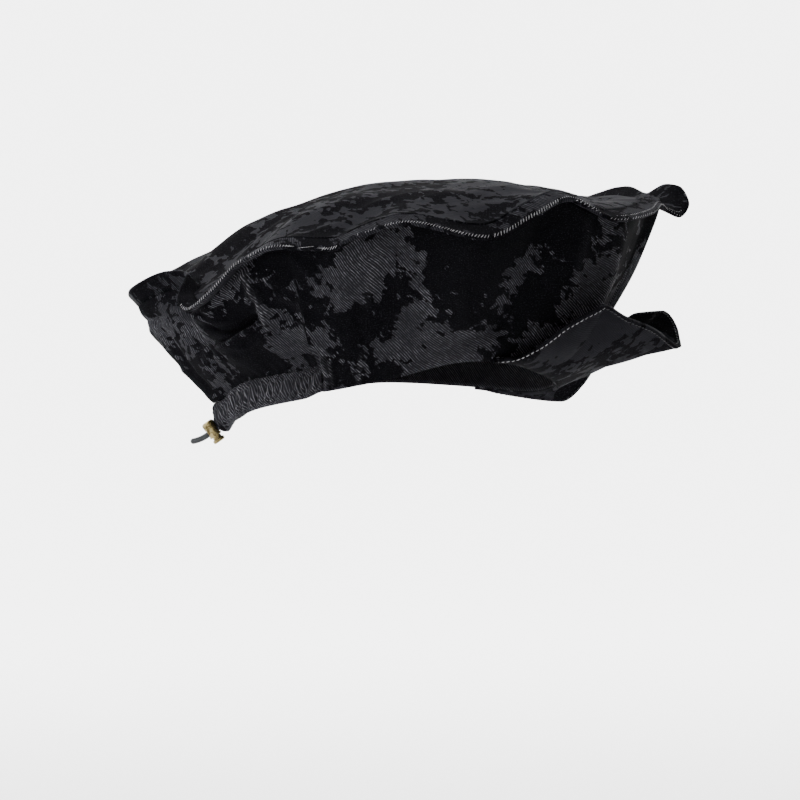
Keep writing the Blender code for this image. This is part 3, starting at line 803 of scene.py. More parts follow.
welt_points = np.stack([welt_section(columns, side) for side in range(WELT_SIDES)], axis=1)
welt_walk = edge_length * np.arange(COLUMNS + 1) / COLUMNS
welt_round = np.concatenate([[0.0], np.cumsum(np.linalg.norm(np.diff(welt_points[0], axis=0), axis=1))])
welt_round = np.append(welt_round, welt_round[-1] + WELT_THICK)
rubbed = ease(cloth_noise(welt_walk[:-1], welt_walk[:-1] * 0, 26, 26, layer=4.9) * 1.5) * WELT_RUBBED
bare_behind = WELT_BARE_BEHIND * ease((np.abs(all_round) - WELT_BARE_START) / 8)
welt_worn = np.zeros((COLUMNS, WELT_SIDES))
welt_worn[:, WELT_STRAIGHT + 1 : -WELT_STRAIGHT - 1] = rubbed[:, None]
welt = cloth_grid(
    "crown_welt",
    welt_points,
    crossed(welt_walk + WELT_SHIFT, welt_round),
    worn=welt_worn,
    flock=flock_by_hand(all_round, 1.0) * WELT_FLOCK - bare_behind,
    joined=(1, 1),
)
print("welt", len(welt.data.polygons), "faces")

# %% [markdown]
# The casing is the tunnel of the drawcord. The cord is shorter than the cloth, so the tunnel puckers into
# dozens of narrow upright pleats. Every pleat has its own width, because even ones look like a machine's.
# The cord's pull also draws its lower edge down a little between the hat's sides and its back.
# %% The gathered casing
CASING_COLUMNS = 560
CASING_SIDES = 22
PLEATS = 32
PLEAT_DEPTH = 1.15
PLEAT_SLANT = 7.0
CREASE_DEPTH = 2.2
CASING_FULLNESS = 1.9
CASING_SHIFT = 4000.0
CASING_FLOCK_START = 166
CASING_FLOCK = 1.8
CASING_BARE = 0.6
CASING_BOXY = 0.6
CASING_BOXY_TOP = 0.35
CASING_DROP = 2.2
BUNCH_CALM = 0.6


def boxy(value, power):
    """A sine or cosine pushed out towards a square's corners."""
    return np.sign(value) * abs(value) ** power


def casing_surface(angle, side):
    """The casing's surface at a share (0 to 1) round its section, in millimetres, at every angle."""
    reach = read(RIM_RING, "reach", angle)
    foot = read(RIM_RING, "height", angle)
    tall = casing_height(angle)
    turn = 2 * math.pi * side
    outside = 0.5 + 0.5 * math.sin(turn)
    walk = np.radians(angle) * FOLD_RADIUS
    slant = PLEAT_SLANT * math.cos(turn)
    wander = 1.5 * cloth_noise(walk + slant, walk * 0 + 20 * math.cos(turn), 15, 60, layer=9.1)
    phase = PLEATS * (angle + 180 + slant * 0.5) / (360 - 2 * CASING_END) * 2 * math.pi + wander * 2.4
    deep = np.maximum(0.0, 1 - 9 * np.abs(cloth_noise(walk + 1.4 * slant, walk * 0, 19, 60, layer=12.3)))
    pleat = PLEAT_DEPTH * (np.sin(phase) + 0.45 * np.sin(2.3 * phase + 1.0)) - CREASE_DEPTH * deep
    calm = 1 - BUNCH_CALM * np.exp(-(((180 - np.abs(angle)) / (1.6 * BUNCH_ANGLE)) ** 2))
    pleat = pleat * calm * outside * abs(math.sin(turn)) ** 0.7
    outer = CASING_THICK + bunch(angle) * (1 - (1 - BUNCH_FOOT_SHARE) * max(0.0, math.cos(turn)))
    middle = outer / 2
    swell = boxy(math.sin(turn), CASING_BOXY if math.cos(turn) >= 0 else CASING_BOXY_TOP)
    climb = boxy(math.cos(turn), CASING_BOXY)
    out = reach + middle + middle * swell + pleat
    drop = CASING_DROP * ease((np.abs(angle) - CASING_END) / 8) * ease((172 - np.abs(angle)) / 12)
    height = foot + tall / 2 - tall / 2 * climb - drop * max(0.0, climb)
    return place(angle, out, height)


casing_angles = np.linspace(CASING_END, 360 - CASING_END, CASING_COLUMNS)
casing_wrapped = np.where(casing_angles > 180, casing_angles - 360, casing_angles)
casing_points = np.stack(
    [casing_surface(casing_wrapped, side / CASING_SIDES) for side in range(CASING_SIDES)], axis=1
)
casing_u = np.radians(casing_angles) * FOLD_RADIUS * CASING_FULLNESS + CASING_SHIFT
casing_v = np.arange(CASING_SIDES + 1) / CASING_SIDES * 2 * (CASING_HEIGHT + CASING_THICK)
casing = cloth_grid(
    "back_casing_gathers",
    casing_points,
    crossed(casing_u, casing_v),
    worn=hardness_of(casing_points, closed=False) * 0.5,
    flock=CASING_FLOCK * ease((np.abs(casing_wrapped) - CASING_FLOCK_START) / 10)[:, None] - CASING_BARE,
    joined=(0, 1),
)


def close_ends(piece):
    """Fills a tube's two open ends and turns every face outwards."""
    with edited(piece.data) as work:
        bmesh.ops.holes_fill(work, edges=[edge for edge in work.edges if edge.is_boundary])
        bmesh.ops.recalc_face_normals(work, faces=work.faces)
    piece.data.shade_smooth()


close_ends(casing)
close_ends(welt)
print("casing", len(casing.data.polygons), "faces")

# %% [markdown]
# The peak is two layers over a stiffener, topstitched near its edge. Each row of its table runs from a
# place on the head opening to a point of the waved edge, and says how far the cloth sags between them.
# Its far half droops and its near crest is pinched to a point, as worn cloth does. Its far half also
# carries more flock: painted shade, for that half lies in shadow.
# %% The peak
PEAK = table(
    "root_angle x y z belly",
    (-50, 60, -69, 21.5, 0),
    (-45, 70, -72, 22.5, 2),
    (-40, 85, -76, 29.5, 6),
    (-33, 101, -77, 41, 10),
    (-26, 115, -74, 48, 12),
    (-20, 123, -70, 50, 12),
    (-14, 134, -62, 45, 8),
    (-8, 150, -46, 39, 2),
    (-2, 165, -20, 29.5, -4),
    (4, 169, 4, 31, -5),
    (10, 168, 20, 40, 0),
    (17, 161, 38, 49.5, 6),
    (23, 147, 54, 49, 8),
    (29, 131, 68, 36, 3),
    (35, 116, 77, 14, -3),
    (41, 103, 81, 2.5, -5),
    (48, 86, 80, 0, -2),
    (55, 62, 77, 3, 0),
)
PEAK_LINE = open_ended(PEAK)
PEAK_THICK = 2.4
PEAK_OFF_WALL = 2.2
PEAK_ROOT_RISE = -0.6
PEAK_COLUMNS = 260
PEAK_ROWS = 40
PEAK_SLACK = 0.9
PEAK_BELLY = 0.55
PEAK_FAR_PAINTED_SHADE = 0.6
PEAK_SHIFT = 5000.0
DROOP_ANGLE = 37.0
DROOP_WIDTH = 9.0
DROOP_DEPTH = 6.5
CREST_ANGLE = -21.5
CREST_WIDTH = 4.0
CREST_RISE = 2.6


def peak_surface(share, out):
    """The peak's middle surface, from its root (out 0) to its waved edge (out 1), in millimetres."""
    root_angle = PEAK[0].root_angle + (PEAK[-1].root_angle - PEAK[0].root_angle) * share
    reach = read(RIM_RING, "reach", root_angle) + PEAK_OFF_WALL
    root = place(root_angle, reach, read(RIM_RING, "height", root_angle) + PEAK_ROOT_RISE)
    edge = np.stack([read(PEAK_LINE, axis, root_angle) for axis in "xyz"], axis=-1)
    points = root + (edge - root) * out[..., None]
    x, y = points[..., 0], points[..., 1]
    slack = cloth_noise(x, y, 26, 18, turn=30, layer=3.7) * PEAK_SLACK * 4 * out * (1 - out)
    points[..., 2] -= PEAK_BELLY * read(PEAK_LINE, "belly", root_angle) * 4 * out * (1 - out) - slack
    points[..., 2] -= DROOP_DEPTH * np.exp(-(((root_angle - DROOP_ANGLE) / DROOP_WIDTH) ** 2)) * out
    points[..., 2] += CREST_RISE * np.exp(-np.abs(root_angle - CREST_ANGLE) / CREST_WIDTH) * out
    return points


shares, peak_outs = np.meshgrid(
    np.linspace(0.0, 1.0, PEAK_COLUMNS + 1), np.linspace(0.0, 1.0, PEAK_ROWS + 1), indexing="ij"
)
peak_points = peak_surface(shares, peak_outs)
peak = cloth_grid(
    "front_peak",
    peak_points,
    peak_points[..., :2] + PEAK_SHIFT,
    # More flock on the far half: painted shade, for that half lies in shadow.
    flock=PEAK_FAR_PAINTED_SHADE * ease((shares - 0.5) / 0.2),
    turn_over=True,
)
thicken(peak, PEAK_THICK)
print("peak", len(peak.data.polygons), "faces before its thickness")

# %% [markdown]
# The drawcord is a thin round elastic. It comes out of a hole in the bunched casing, runs straight through
# the lock and sways up to its cut and sealed end. A ring of points is carried along the construction's own
# line, so that the cord keeps the place and the length that the solids give it.
# %% The drawcord's line
LOCK_PLACE = (-101.3, 0.0, -19.7)
LOCK_LEAN = 35.0
CORD_WIDE = 3.4
CORD_BEND_START = 4.0
CORD_BEND_RADIUS = 8.0
CORD_BEND_TURN = 50.0
CORD_BEND_STEPS = 12
CORD_UPRIGHT = 5.2
CORD_STRAIGHT_END = -4.4
CORD_END = -12.6
CORD_SWAY = 1.8
CORD_STEPS = 10
CORD_SIDES = 28
CORD_FINE = 150
CORD_END_ROWS = 8

lock_place = Matrix.Translation(Vector(LOCK_PLACE)) @ Matrix.Rotation(math.radians(-LOCK_LEAN), 4, "Y")


def cord_route():
    """The cord's middle line in the lock's frame, in millimetres, from its hidden end to its tip."""
    turn = math.radians(CORD_BEND_TURN)
    bend = [turn * step / CORD_BEND_STEPS for step in range(CORD_BEND_STEPS, -1, -1)]
    points = [
        (CORD_BEND_START + CORD_BEND_RADIUS * math.sin(t), 0, CORD_BEND_RADIUS * (1 - math.cos(t)))
        for t in bend
    ]
    far = (points[0][0] + CORD_UPRIGHT * math.cos(turn), 0, points[0][2] + CORD_UPRIGHT * math.sin(turn))
    points = [far] + points + [(0, 0, 0)]
    for step in range(CORD_STEPS + 1):
        share = step / CORD_STEPS
        points.append((CORD_STRAIGHT_END + (CORD_END - CORD_STRAIGHT_END) * share, 0, CORD_SWAY * share**2))
    return np.array(points, float)


def resampled(points, count):
    """Points evenly spaced along a line."""
    walk = np.concatenate([[0.0], np.cumsum(np.linalg.norm(np.diff(points, axis=0), axis=1))])
    at = np.linspace(0.0, walk[-1], count)
    return np.stack([np.interp(at, walk, points[:, axis]) for axis in range(3)], axis=1), walk[-1]


cord_line, cord_drawn = resampled(cord_route(), CORD_FINE)
tip = (cord_line[-1] - cord_line[-2]) / np.linalg.norm(cord_line[-1] - cord_line[-2])
rounding = np.pi / 2 * np.arange(1, CORD_END_ROWS + 1) / CORD_END_ROWS
cord_line = np.vstack([cord_line, cord_line[-1] + tip * (CORD_WIDE / 2 * np.sin(rounding))[:, None]])
cord_radius = np.append(np.full(CORD_FINE, CORD_WIDE / 2), CORD_WIDE / 2 * np.cos(rounding))
cord_length = cord_drawn + CORD_WIDE / 2
along_line = np.gradient(cord_line, axis=0)
along_line /= np.linalg.norm(along_line, axis=1, keepdims=True)
sideways = np.array([0.0, 1.0, 0.0])
upright = np.cross(along_line, sideways)
turns = 2 * np.pi * np.arange(CORD_SIDES) / CORD_SIDES
around = np.cos(turns)[None, :, None] * sideways + np.sin(turns)[None, :, None] * upright[:, None, :]
cord_points = cord_line[:, None, :] + around * cord_radius[:, None, None]
lock_turn = np.array(lock_place.to_3x3())
cord_points = cord_points @ lock_turn.T + np.array(LOCK_PLACE)
cord_u = np.linspace(0.0, cord_length, len(cord_line))
cord_v = np.arange(CORD_SIDES + 1) / CORD_SIDES * np.pi * CORD_WIDE
cord = cloth_grid("drawcord_elastic", cord_points, crossed(cord_u, cord_v), joined=(0, 1))
close_ends(cord)
print("cord", round(cord_length, 1), "mm long")

# %% [markdown]
# The cord lock is turned brass: a domed barrel and a plunger pushed up into it from below, both drilled
# across for the cord. A turned shape is a profile spun round its axis. The cross hole is cut by a Boolean,
# and a small bevel rounds its rim, because a sharp edge in brass never catches the light.
# %% The cord lock
CORD_HOLE = 4.0
PLUNGER_TRAVEL = 1.4
PLUNGER_RADIUS = 2.7
PLUNGER_TOP = CORD_HOLE / 2 + 1.1
PLUNGER_HEAD_RADIUS = 3.6
PLUNGER_FOOT = -7.2
BARREL_RADIUS = 3.8
BARREL_TOP = 6.6
BARREL_FOOT = -3.3
BORE_RADIUS = 3.0
BORE_TOP = PLUNGER_TOP + PLUNGER_TRAVEL + 0.25
PLUNGER_HEAD_TOP = BARREL_FOOT - PLUNGER_TRAVEL - 0.2
LOCK_SIDES = 72
HOLE_BEVEL = 0.22
BEVEL_ANGLE = math.radians(40)
SHARP_ANGLE = math.radians(50)


def arc(middle, radius, start, end, steps):
    """Points of an arc in (radius, height), from one angle to another, in degrees from outwards."""
    turns = np.radians(np.linspace(start, end, steps + 1))
    return [(middle[0] + radius * math.cos(t), middle[1] + radius * math.sin(t)) for t in turns]


def turned(name, profile):
    """A solid spun round the lock's axis from a profile of (radius, height) points, top to bottom."""
    return spun(name, [(radius * MM, height * MM) for radius, height in profile], LOCK_SIDES)


def drilled(piece, low, high):
    """Cuts the cord's slot across a piece, rounds its edges and returns it as a plain mesh in its place."""
    bpy.ops.mesh.primitive_cube_add(size=1)
    cutter = bpy.context.object
    size = Matrix.Diagonal((5 * BARREL_RADIUS * MM, CORD_HOLE * MM, (high - low) * MM, 1))
    cutter.data.transform(Matrix.Translation((0, 0, (low + high) / 2 * MM)) @ size)
    hole = piece.modifiers.new("Hole", "BOOLEAN")
    hole.operation = "DIFFERENCE"
    hole.object = cutter
    soft = piece.modifiers.new("Soft edges", "BEVEL")
    soft.width = HOLE_BEVEL * MM
    soft.segments = 3
    soft.limit_method = "ANGLE"
    soft.angle_limit = BEVEL_ANGLE
    made = plain(piece)
    bpy.data.objects.remove(cutter)
    made.data.transform(Matrix.Translation(Vector(LOCK_PLACE) * MM) @ lock_place.to_3x3().to_4x4())
    made.data.shade_smooth()
    made.data.set_sharp_from_angle(angle=SHARP_ANGLE)
    return made


def plain(piece):
    """Replaces an object that has modifiers by the plain mesh that they make."""
    graph = bpy.context.evaluated_depsgraph_get()
    mesh = bpy.data.meshes.new_from_object(piece.evaluated_get(graph))
    name = piece.name
    bpy.data.objects.remove(piece)
    mesh.name = name
    return put(name, mesh)


barrel_profile = (
    [(0.0, BARREL_TOP)]
    + arc((BARREL_RADIUS - 1.7, BARREL_TOP - 1.7), 1.7, 84, 6, 9)
    + [(BARREL_RADIUS, BARREL_TOP - 2.2), (BARREL_RADIUS, 0.4)]
    + arc((BARREL_RADIUS - 0.5, BARREL_FOOT + 0.5), 0.5, 0, -90, 5)
    + [(BORE_RADIUS, BARREL_FOOT), (BORE_RADIUS, BORE_TOP), (0.0, BORE_TOP)]
)
plunger_profile = (
    [(0.0, PLUNGER_TOP)]
    + arc((PLUNGER_RADIUS - 0.4, PLUNGER_TOP - 0.4), 0.4, 90, 0, 4)
    + [(PLUNGER_RADIUS, PLUNGER_HEAD_TOP + 0.1)]
    + arc((PLUNGER_HEAD_RADIUS - 0.5, PLUNGER_HEAD_TOP - 0.5), 0.5, 90, 0, 5)
    + arc((PLUNGER_HEAD_RADIUS - 0.9, PLUNGER_FOOT + 0.95), 0.9, 0, -80, 6)
    + [(0.0, PLUNGER_FOOT)]
)
barrel = drilled(turned("cord_lock_barrel", barrel_profile), -CORD_HOLE / 2, CORD_HOLE / 2)
plunger = drilled(
    turned("cord_lock_plunger", plunger_profile), -CORD_HOLE / 2 - PLUNGER_TRAVEL, CORD_HOLE / 2
)
print("lock", len(barrel.data.polygons), len(plunger.data.polygons), "faces")

# %% [markdown]
# A shader is a tree of nodes. These helpers add one node each, join it to what it reads and hand back its
# output, so that a material reads from top to bottom like a recipe.
# %% Shader helpers
def add(tree, kind, inputs=None, **settings):
    """Adds a node, sets its options, and joins or sets its inputs."""
    made = tree.nodes.new(kind)
    for key, value in settings.items():
        setattr(made, key, value)
    for key, value in (inputs or {}).items():
        if isinstance(value, bpy.types.NodeSocket):
            tree.links.new(value, made.inputs[key])
        else:
            made.inputs[key].default_value = value
    return made


def wire(tree, kind, inputs=None, **settings):
    """Adds a node and hands back its first output."""
    return add(tree, kind, inputs, **settings).outputs[0]


def maths(tree, operation, first, second=0.0, third=0.0):
    """One step of arithmetic."""
    return wire(tree, "ShaderNodeMath", {0: first, 1: second, 2: third}, operation=operation)


def ranged(tree, value, low, high, to_low=0.0, to_high=1.0):
    """A smooth step from one value to another."""
    inputs = {"Value": value, "From Min": low, "From Max": high, "To Min": to_low, "To Max": to_high}
    return wire(tree, "ShaderNodeMapRange", inputs, interpolation_type="SMOOTHSTEP")


def speckle(tree, place_on, scale, detail=2.0, roughness=0.5):
    """Noise from 0 to 1."""
    inputs = {"Vector": place_on, "Scale": scale, "Detail": detail, "Roughness": roughness}
    return add(tree, "ShaderNodeTexNoise", inputs).outputs["Fac"]


def stretched(tree, place_on, turn, scale):
    """The cloth's coordinates turned by an angle, then stretched."""
    inputs = {"Vector": place_on, "Angle": math.radians(turn)}
    turned_on = wire(tree, "ShaderNodeVectorRotate", inputs, rotation_type="Z_AXIS")
    return wire(tree, "ShaderNodeVectorMath", {0: turned_on, 1: scale}, operation="MULTIPLY")


def mixed(tree, share, first, second):
    """A colour between two colours."""
    inputs = {0: share, 6: first, 7: second}
    return add(tree, "ShaderNodeMix", inputs, data_type="RGBA").outputs[2]


def bumped(tree, shader, height, strength, distance):
    """Joins a height to the shader as a bump of a depth in millimetres."""
    inputs = {"Height": height, "Strength": strength, "Distance": distance * MM}
    tree.links.new(wire(tree, "ShaderNodeBump", inputs), shader.inputs["Normal"])


print("materials so far", len(bpy.data.materials))

# %% [markdown]
# Washed denim is a twill: pale weft shows between dark warp threads in lines that climb across the cloth.
# Flock is a coat of tiny upright fibres glued on in patches. It swallows light, stands a little proud of
# the weave, and its torn edge is what makes the patches look alive. One noise lays out the patches, and
# two finer ones, drawn out along the twill, tear their edges and leave small islands, because the flock
# comes off line by line. A bent grid of coordinates keeps the patches from looking round.
# %% Flocked denim
TWILL_PITCH = 1.3
TWILL_TURN = 56.0
DARK_WARP = (0.0050, 0.0050, 0.0066, 1.0)
PALE_WEFT = (0.105, 0.105, 0.117, 1.0)
WORN_WEFT = (0.30, 0.30, 0.32, 1.0)
FLOCK_DEEP = (0.0020, 0.0020, 0.0026, 1.0)
FLOCK_TIPS = (0.0170, 0.0170, 0.0200, 1.0)
FLOCK_BEND = (0.010, 0.010, 0.0)
FLOCK_LOBES = 0.55
FLOCK_TORN = 0.34
FLOCK_HAND = 0.14
FLOCK_COVER = 0.4
FLOCK_EDGE = 0.010


def twill_lines(tree, cloth, turn=TWILL_TURN, pitch=TWILL_PITCH):
    """The twill's height, from 0 between two lines to 1 on a line, with its lines a little uneven."""
    axes = stretched(tree, cloth, turn, (1 / (6 * pitch * MM), 1 / (pitch * MM), 1.0))
    sway = maths(tree, "MULTIPLY", speckle(tree, cloth, 26.0, 1.0), 5.0)
    uneven = maths(tree, "MULTIPLY", speckle(tree, axes, 0.8, 2.0, 0.6), 0.9)
    across = maths(tree, "ADD", add(tree, "ShaderNodeSeparateXYZ", {0: axes}).outputs["Y"], sway)
    across = maths(tree, "ADD", across, uneven)
    line = maths(tree, "SINE", maths(tree, "MULTIPLY", across, 2 * math.pi))
    return ranged(tree, line, 0.15, 1.15)


def flock_patches(tree, cloth, cover):
    """1 inside a patch of flock and 0 on bare denim. cover is the share of cloth that it takes."""
    inputs = {"Vector": cloth, "Scale": 120.0, "Detail": 0.8}
    push = add(tree, "ShaderNodeTexNoise", inputs).outputs["Color"]
    centred = wire(tree, "ShaderNodeVectorMath", {0: push, 1: (0.5, 0.5, 0.5)}, operation="SUBTRACT")
    inputs = {0: centred, 1: FLOCK_BEND, 2: cloth}
    bent = wire(tree, "ShaderNodeVectorMath", inputs, operation="MULTIPLY_ADD")
    patches = speckle(tree, bent, 20.0, 5.0, 0.62)
    lobes = speckle(tree, stretched(tree, bent, TWILL_TURN, (0.62, 1.2, 1.0)), 125.0, 2.0, 0.5)
    torn = speckle(tree, stretched(tree, cloth, TWILL_TURN, (0.7, 1.25, 1.0)), 230.0, 1.6, 0.5)
    hand = add(tree, "ShaderNodeAttribute", attribute_name="flock").outputs["Fac"]
    total = maths(tree, "MULTIPLY_ADD", lobes, FLOCK_LOBES, patches)
    total = maths(tree, "MULTIPLY_ADD", torn, FLOCK_TORN, total)
    total = maths(tree, "MULTIPLY_ADD", hand, FLOCK_HAND, total)
    level = 0.5 * (1 + FLOCK_LOBES + FLOCK_TORN) + (0.5 - cover) * FLOCK_COVER
    return ranged(tree, total, level - FLOCK_EDGE, level + FLOCK_EDGE)


def flocked_denim(name, cover=0.5, turn=TWILL_TURN, pitch=TWILL_PITCH, painted_light_level=1.0, painted_sheen=0.0):
    """The hat's cloth: washed black denim with patches of black flock. Its pale weft is made lighter or
    darker piece by piece, painted light and shade for how the light falls on each piece, and an even grey
    can take the place of part of the twill lines, a painted sheen.
    """
    made, tree, shader = new_material(name, {"Specular IOR Level": 0.01})
    cloth = wire(tree, "ShaderNodeUVMap", uv_map=UV_NAME)
    worn = add(tree, "ShaderNodeAttribute", attribute_name="worn").outputs["Fac"]
    lines = twill_lines(tree, cloth, turn, pitch)
    slub = speckle(tree, stretched(tree, cloth, turn, (260.0, 900.0, 1.0)), 1.0, 3.0, 0.65)
    wash = speckle(tree, cloth, 24.0, 4.0, 0.6)
    pale = maths(tree, "MULTIPLY", lines, ranged(tree, slub, 0.28, 0.72, 0.12, 1.0))
    # The pale weft is scaled piece by piece: painted light and shade for how the light falls on each piece.
    pale = maths(tree, "MULTIPLY", pale, ranged(tree, wash, 0.32, 0.7, 0.25 * painted_light_level, 1.0 * painted_light_level))
    # An even grey takes the place of part of the twill lines: a painted sheen, as on cloth seen at a
    # grazing angle.
    soft = maths(tree, "MULTIPLY", ranged(tree, wash, 0.25, 0.75, 0.25, 0.55), painted_sheen * painted_light_level)
    pale = maths(tree, "MULTIPLY_ADD", pale, 1 - painted_sheen, maths(tree, "ADD", soft, 0.05 * painted_light_level))
    weft = mixed(tree, worn, PALE_WEFT, WORN_WEFT)
    denim = mixed(tree, pale, DARK_WARP, weft)

    patches = flock_patches(tree, cloth, cover)
    rubbed = maths(tree, "MULTIPLY_ADD", worn, -0.85, 1.0)
    patches = maths(tree, "MULTIPLY", patches, rubbed)
    nap = speckle(tree, cloth, 1100.0, 2.5, 0.75)
    flock = mixed(tree, ranged(tree, nap, 0.48, 0.8), FLOCK_DEEP, FLOCK_TIPS)
    tree.links.new(mixed(tree, patches, denim, flock), shader.inputs["Base Color"])

    weave_height = maths(tree, "MULTIPLY", lines, maths(tree, "SUBTRACT", 1.0, patches))
    flock_height = maths(tree, "MULTIPLY", patches, maths(tree, "MULTIPLY_ADD", nap, 0.5, 1.1))
    height = maths(tree, "MULTIPLY_ADD", weave_height, 0.7, flock_height)
    bumped(tree, shader, height, 0.55, 0.35)
    tree.links.new(ranged(tree, patches, 0.0, 1.0, 0.72, 0.95), shader.inputs["Roughness"])
    return made


print("the wall's twill has a line every", TWILL_PITCH, "mm")

# %% [markdown]
# The back of the cloth has no flock. It is the plain side of the twill, a soft dark grey, and shows only
# inside the hat and where an edge curls.
# %% Denim's back
BACK_DARK = (0.010, 0.010, 0.012, 1.0)
BACK_PALE = (0.055, 0.055, 0.060, 1.0)


def denim_back(name):
    """The plain back of the denim."""
    made, tree, shader = new_material(name, {"Roughness": 0.9, "Specular IOR Level": 0.05})
    cloth = wire(tree, "ShaderNodeUVMap", uv_map=UV_NAME)
    lines = twill_lines(tree, cloth, -TWILL_TURN, 1.0)
    wash = speckle(tree, cloth, 60.0, 4.0, 0.6)
    share = maths(tree, "MULTIPLY", lines, ranged(tree, wash, 0.3, 0.7, 0.4, 1.0))
    tree.links.new(mixed(tree, share, BACK_DARK, BACK_PALE), shader.inputs["Base Color"])
    bumped(tree, shader, lines, 0.5, 0.3)
    return made


# Every piece is cut from the same denim. The last settings paint each piece lighter or darker for how the
# light falls on it, and give the top and the peak a painted sheen.
wall_cloth = flocked_denim("wall_flocked_denim", cover=0.55)
top_cloth = flocked_denim("top_flocked_denim", cover=0.52, turn=-20.0, painted_light_level=0.27, painted_sheen=0.5)
welt_cloth = flocked_denim("welt_flocked_denim", cover=0.5, turn=60.0, painted_light_level=0.6)
casing_cloth = flocked_denim("casing_flocked_denim", cover=0.22, turn=42.0, pitch=2.1, painted_light_level=1.25)
peak_cloth = flocked_denim(
    "peak_flocked_denim", cover=0.45, turn=-55.0, pitch=0.9, painted_light_level=0.12, painted_sheen=0.5
)
back_cloth = denim_back("denim_back")
CLOTHS = (
    (wall, (wall_cloth, back_cloth)),
    (top, (top_cloth, back_cloth)),
    (welt, (welt_cloth,)),
    (casing, (casing_cloth,)),
    (peak, (peak_cloth, peak_cloth)),
)
for piece, finishes in CLOTHS:
    for finish in finishes:
        piece.data.materials.append(finish)
print("cloths", [m.name for m in bpy.data.materials if "denim" in m.name])

# %% [markdown]
# Antique brass is brass that was blackened and then rubbed bright again where hands touch it. Brown stays
# in the hollows and in fine pits, and the roughness follows the same pattern.
# %% Antique brass
BRASS_BROWN = (0.07, 0.05, 0.022, 1.0)
BRASS_BRIGHT = (0.32, 0.26, 0.12, 1.0)
BRASS_PITS = (0.09, 0.06, 0.025, 1.0)


def antique_brass(name):
    """Rubbed, darkened brass."""
    made, tree, shader = new_material(name, {"Metallic": 1.0})
    spot = add(tree, "ShaderNodeTexCoord").outputs["Object"]
    tarnish = speckle(tree, spot, 420.0, 4.0, 0.65)
    pits = speckle(tree, spot, 2600.0, 3.0, 0.7)
    rubbed = ranged(tree, tarnish, 0.35, 0.62)
    colour = mixed(tree, rubbed, BRASS_BROWN, BRASS_BRIGHT)
    colour = mixed(tree, ranged(tree, pits, 0.62, 0.75), colour, BRASS_PITS)
    tree.links.new(colour, shader.inputs["Base Color"])
    tree.links.new(ranged(tree, tarnish, 0.3, 0.7, 0.48, 0.26), shader.inputs["Roughness"])
    bumped(tree, shader, pits, 0.25, 0.05)
    return made


brass = antique_brass("antique_brass")
barrel.data.materials.append(brass)
plunger.data.materials.append(brass)
print("metal", brass.name)

# %% [markdown]
# The elastic is a knitted sleeve over rubber. Its fine ribs run round it at a slant, and its colour is a
# dull blue grey that is a little lighter than the hat.
# %% Elastic
ELASTIC_DARK = (0.007, 0.008, 0.009, 1.0)
ELASTIC_PALE = (0.020, 0.023, 0.026, 1.0)


def knitted_elastic(name):
    """Dark grey elastic with fine slanting ribs."""
    made, tree, shader = new_material(name, {"Roughness": 0.6})
    cloth = wire(tree, "ShaderNodeUVMap", uv_map=UV_NAME)
    one_way = twill_lines(tree, cloth, 52.0, 0.55)
    other_way = twill_lines(tree, cloth, -52.0, 0.55)
    ribs = maths(tree, "MAXIMUM", one_way, other_way)
    tree.links.new(mixed(tree, ribs, ELASTIC_DARK, ELASTIC_PALE), shader.inputs["Base Color"])
    bumped(tree, shader, ribs, 0.4, 0.12)
    return made


cord.data.materials.append(knitted_elastic("elastic"))
print("cord's finish", cord.data.materials[0].name)

# %% [markdown]
# Stitches repeat along a line, so Geometry Nodes lay them: the line becomes a curve, points are set along
# it a stitch apart, and each point gets one short plump stitch, turned to the line and to the cloth's own
# outward direction, which the line carries as an attribute. The tree ends by making the copies real.
# %% The stitch tree
STITCH_SEGMENTS = 8
STITCH_RINGS = 5
STITCH_SOCKETS = (
    ("Geometry", "Geometry", None),
    ("Pitch", "Float", 0.003),
    ("Length", "Float", 0.0026),
    ("Width", "Float", 0.0008),
    ("Lean", "Float", 0.0),
    ("Bare", "Float", 0.0),
    ("Seed", "Int", 0),
    ("Thread", "Material", None),
)
LEAN_CHANGE = 0.16
SMALL_STITCH = (0.78, 0.8, 0.8)
LARGE_STITCH = (1.12, 1.2, 1.15)
BARE_NOISE = {"Scale": 34.0, "Detail": 3.0}


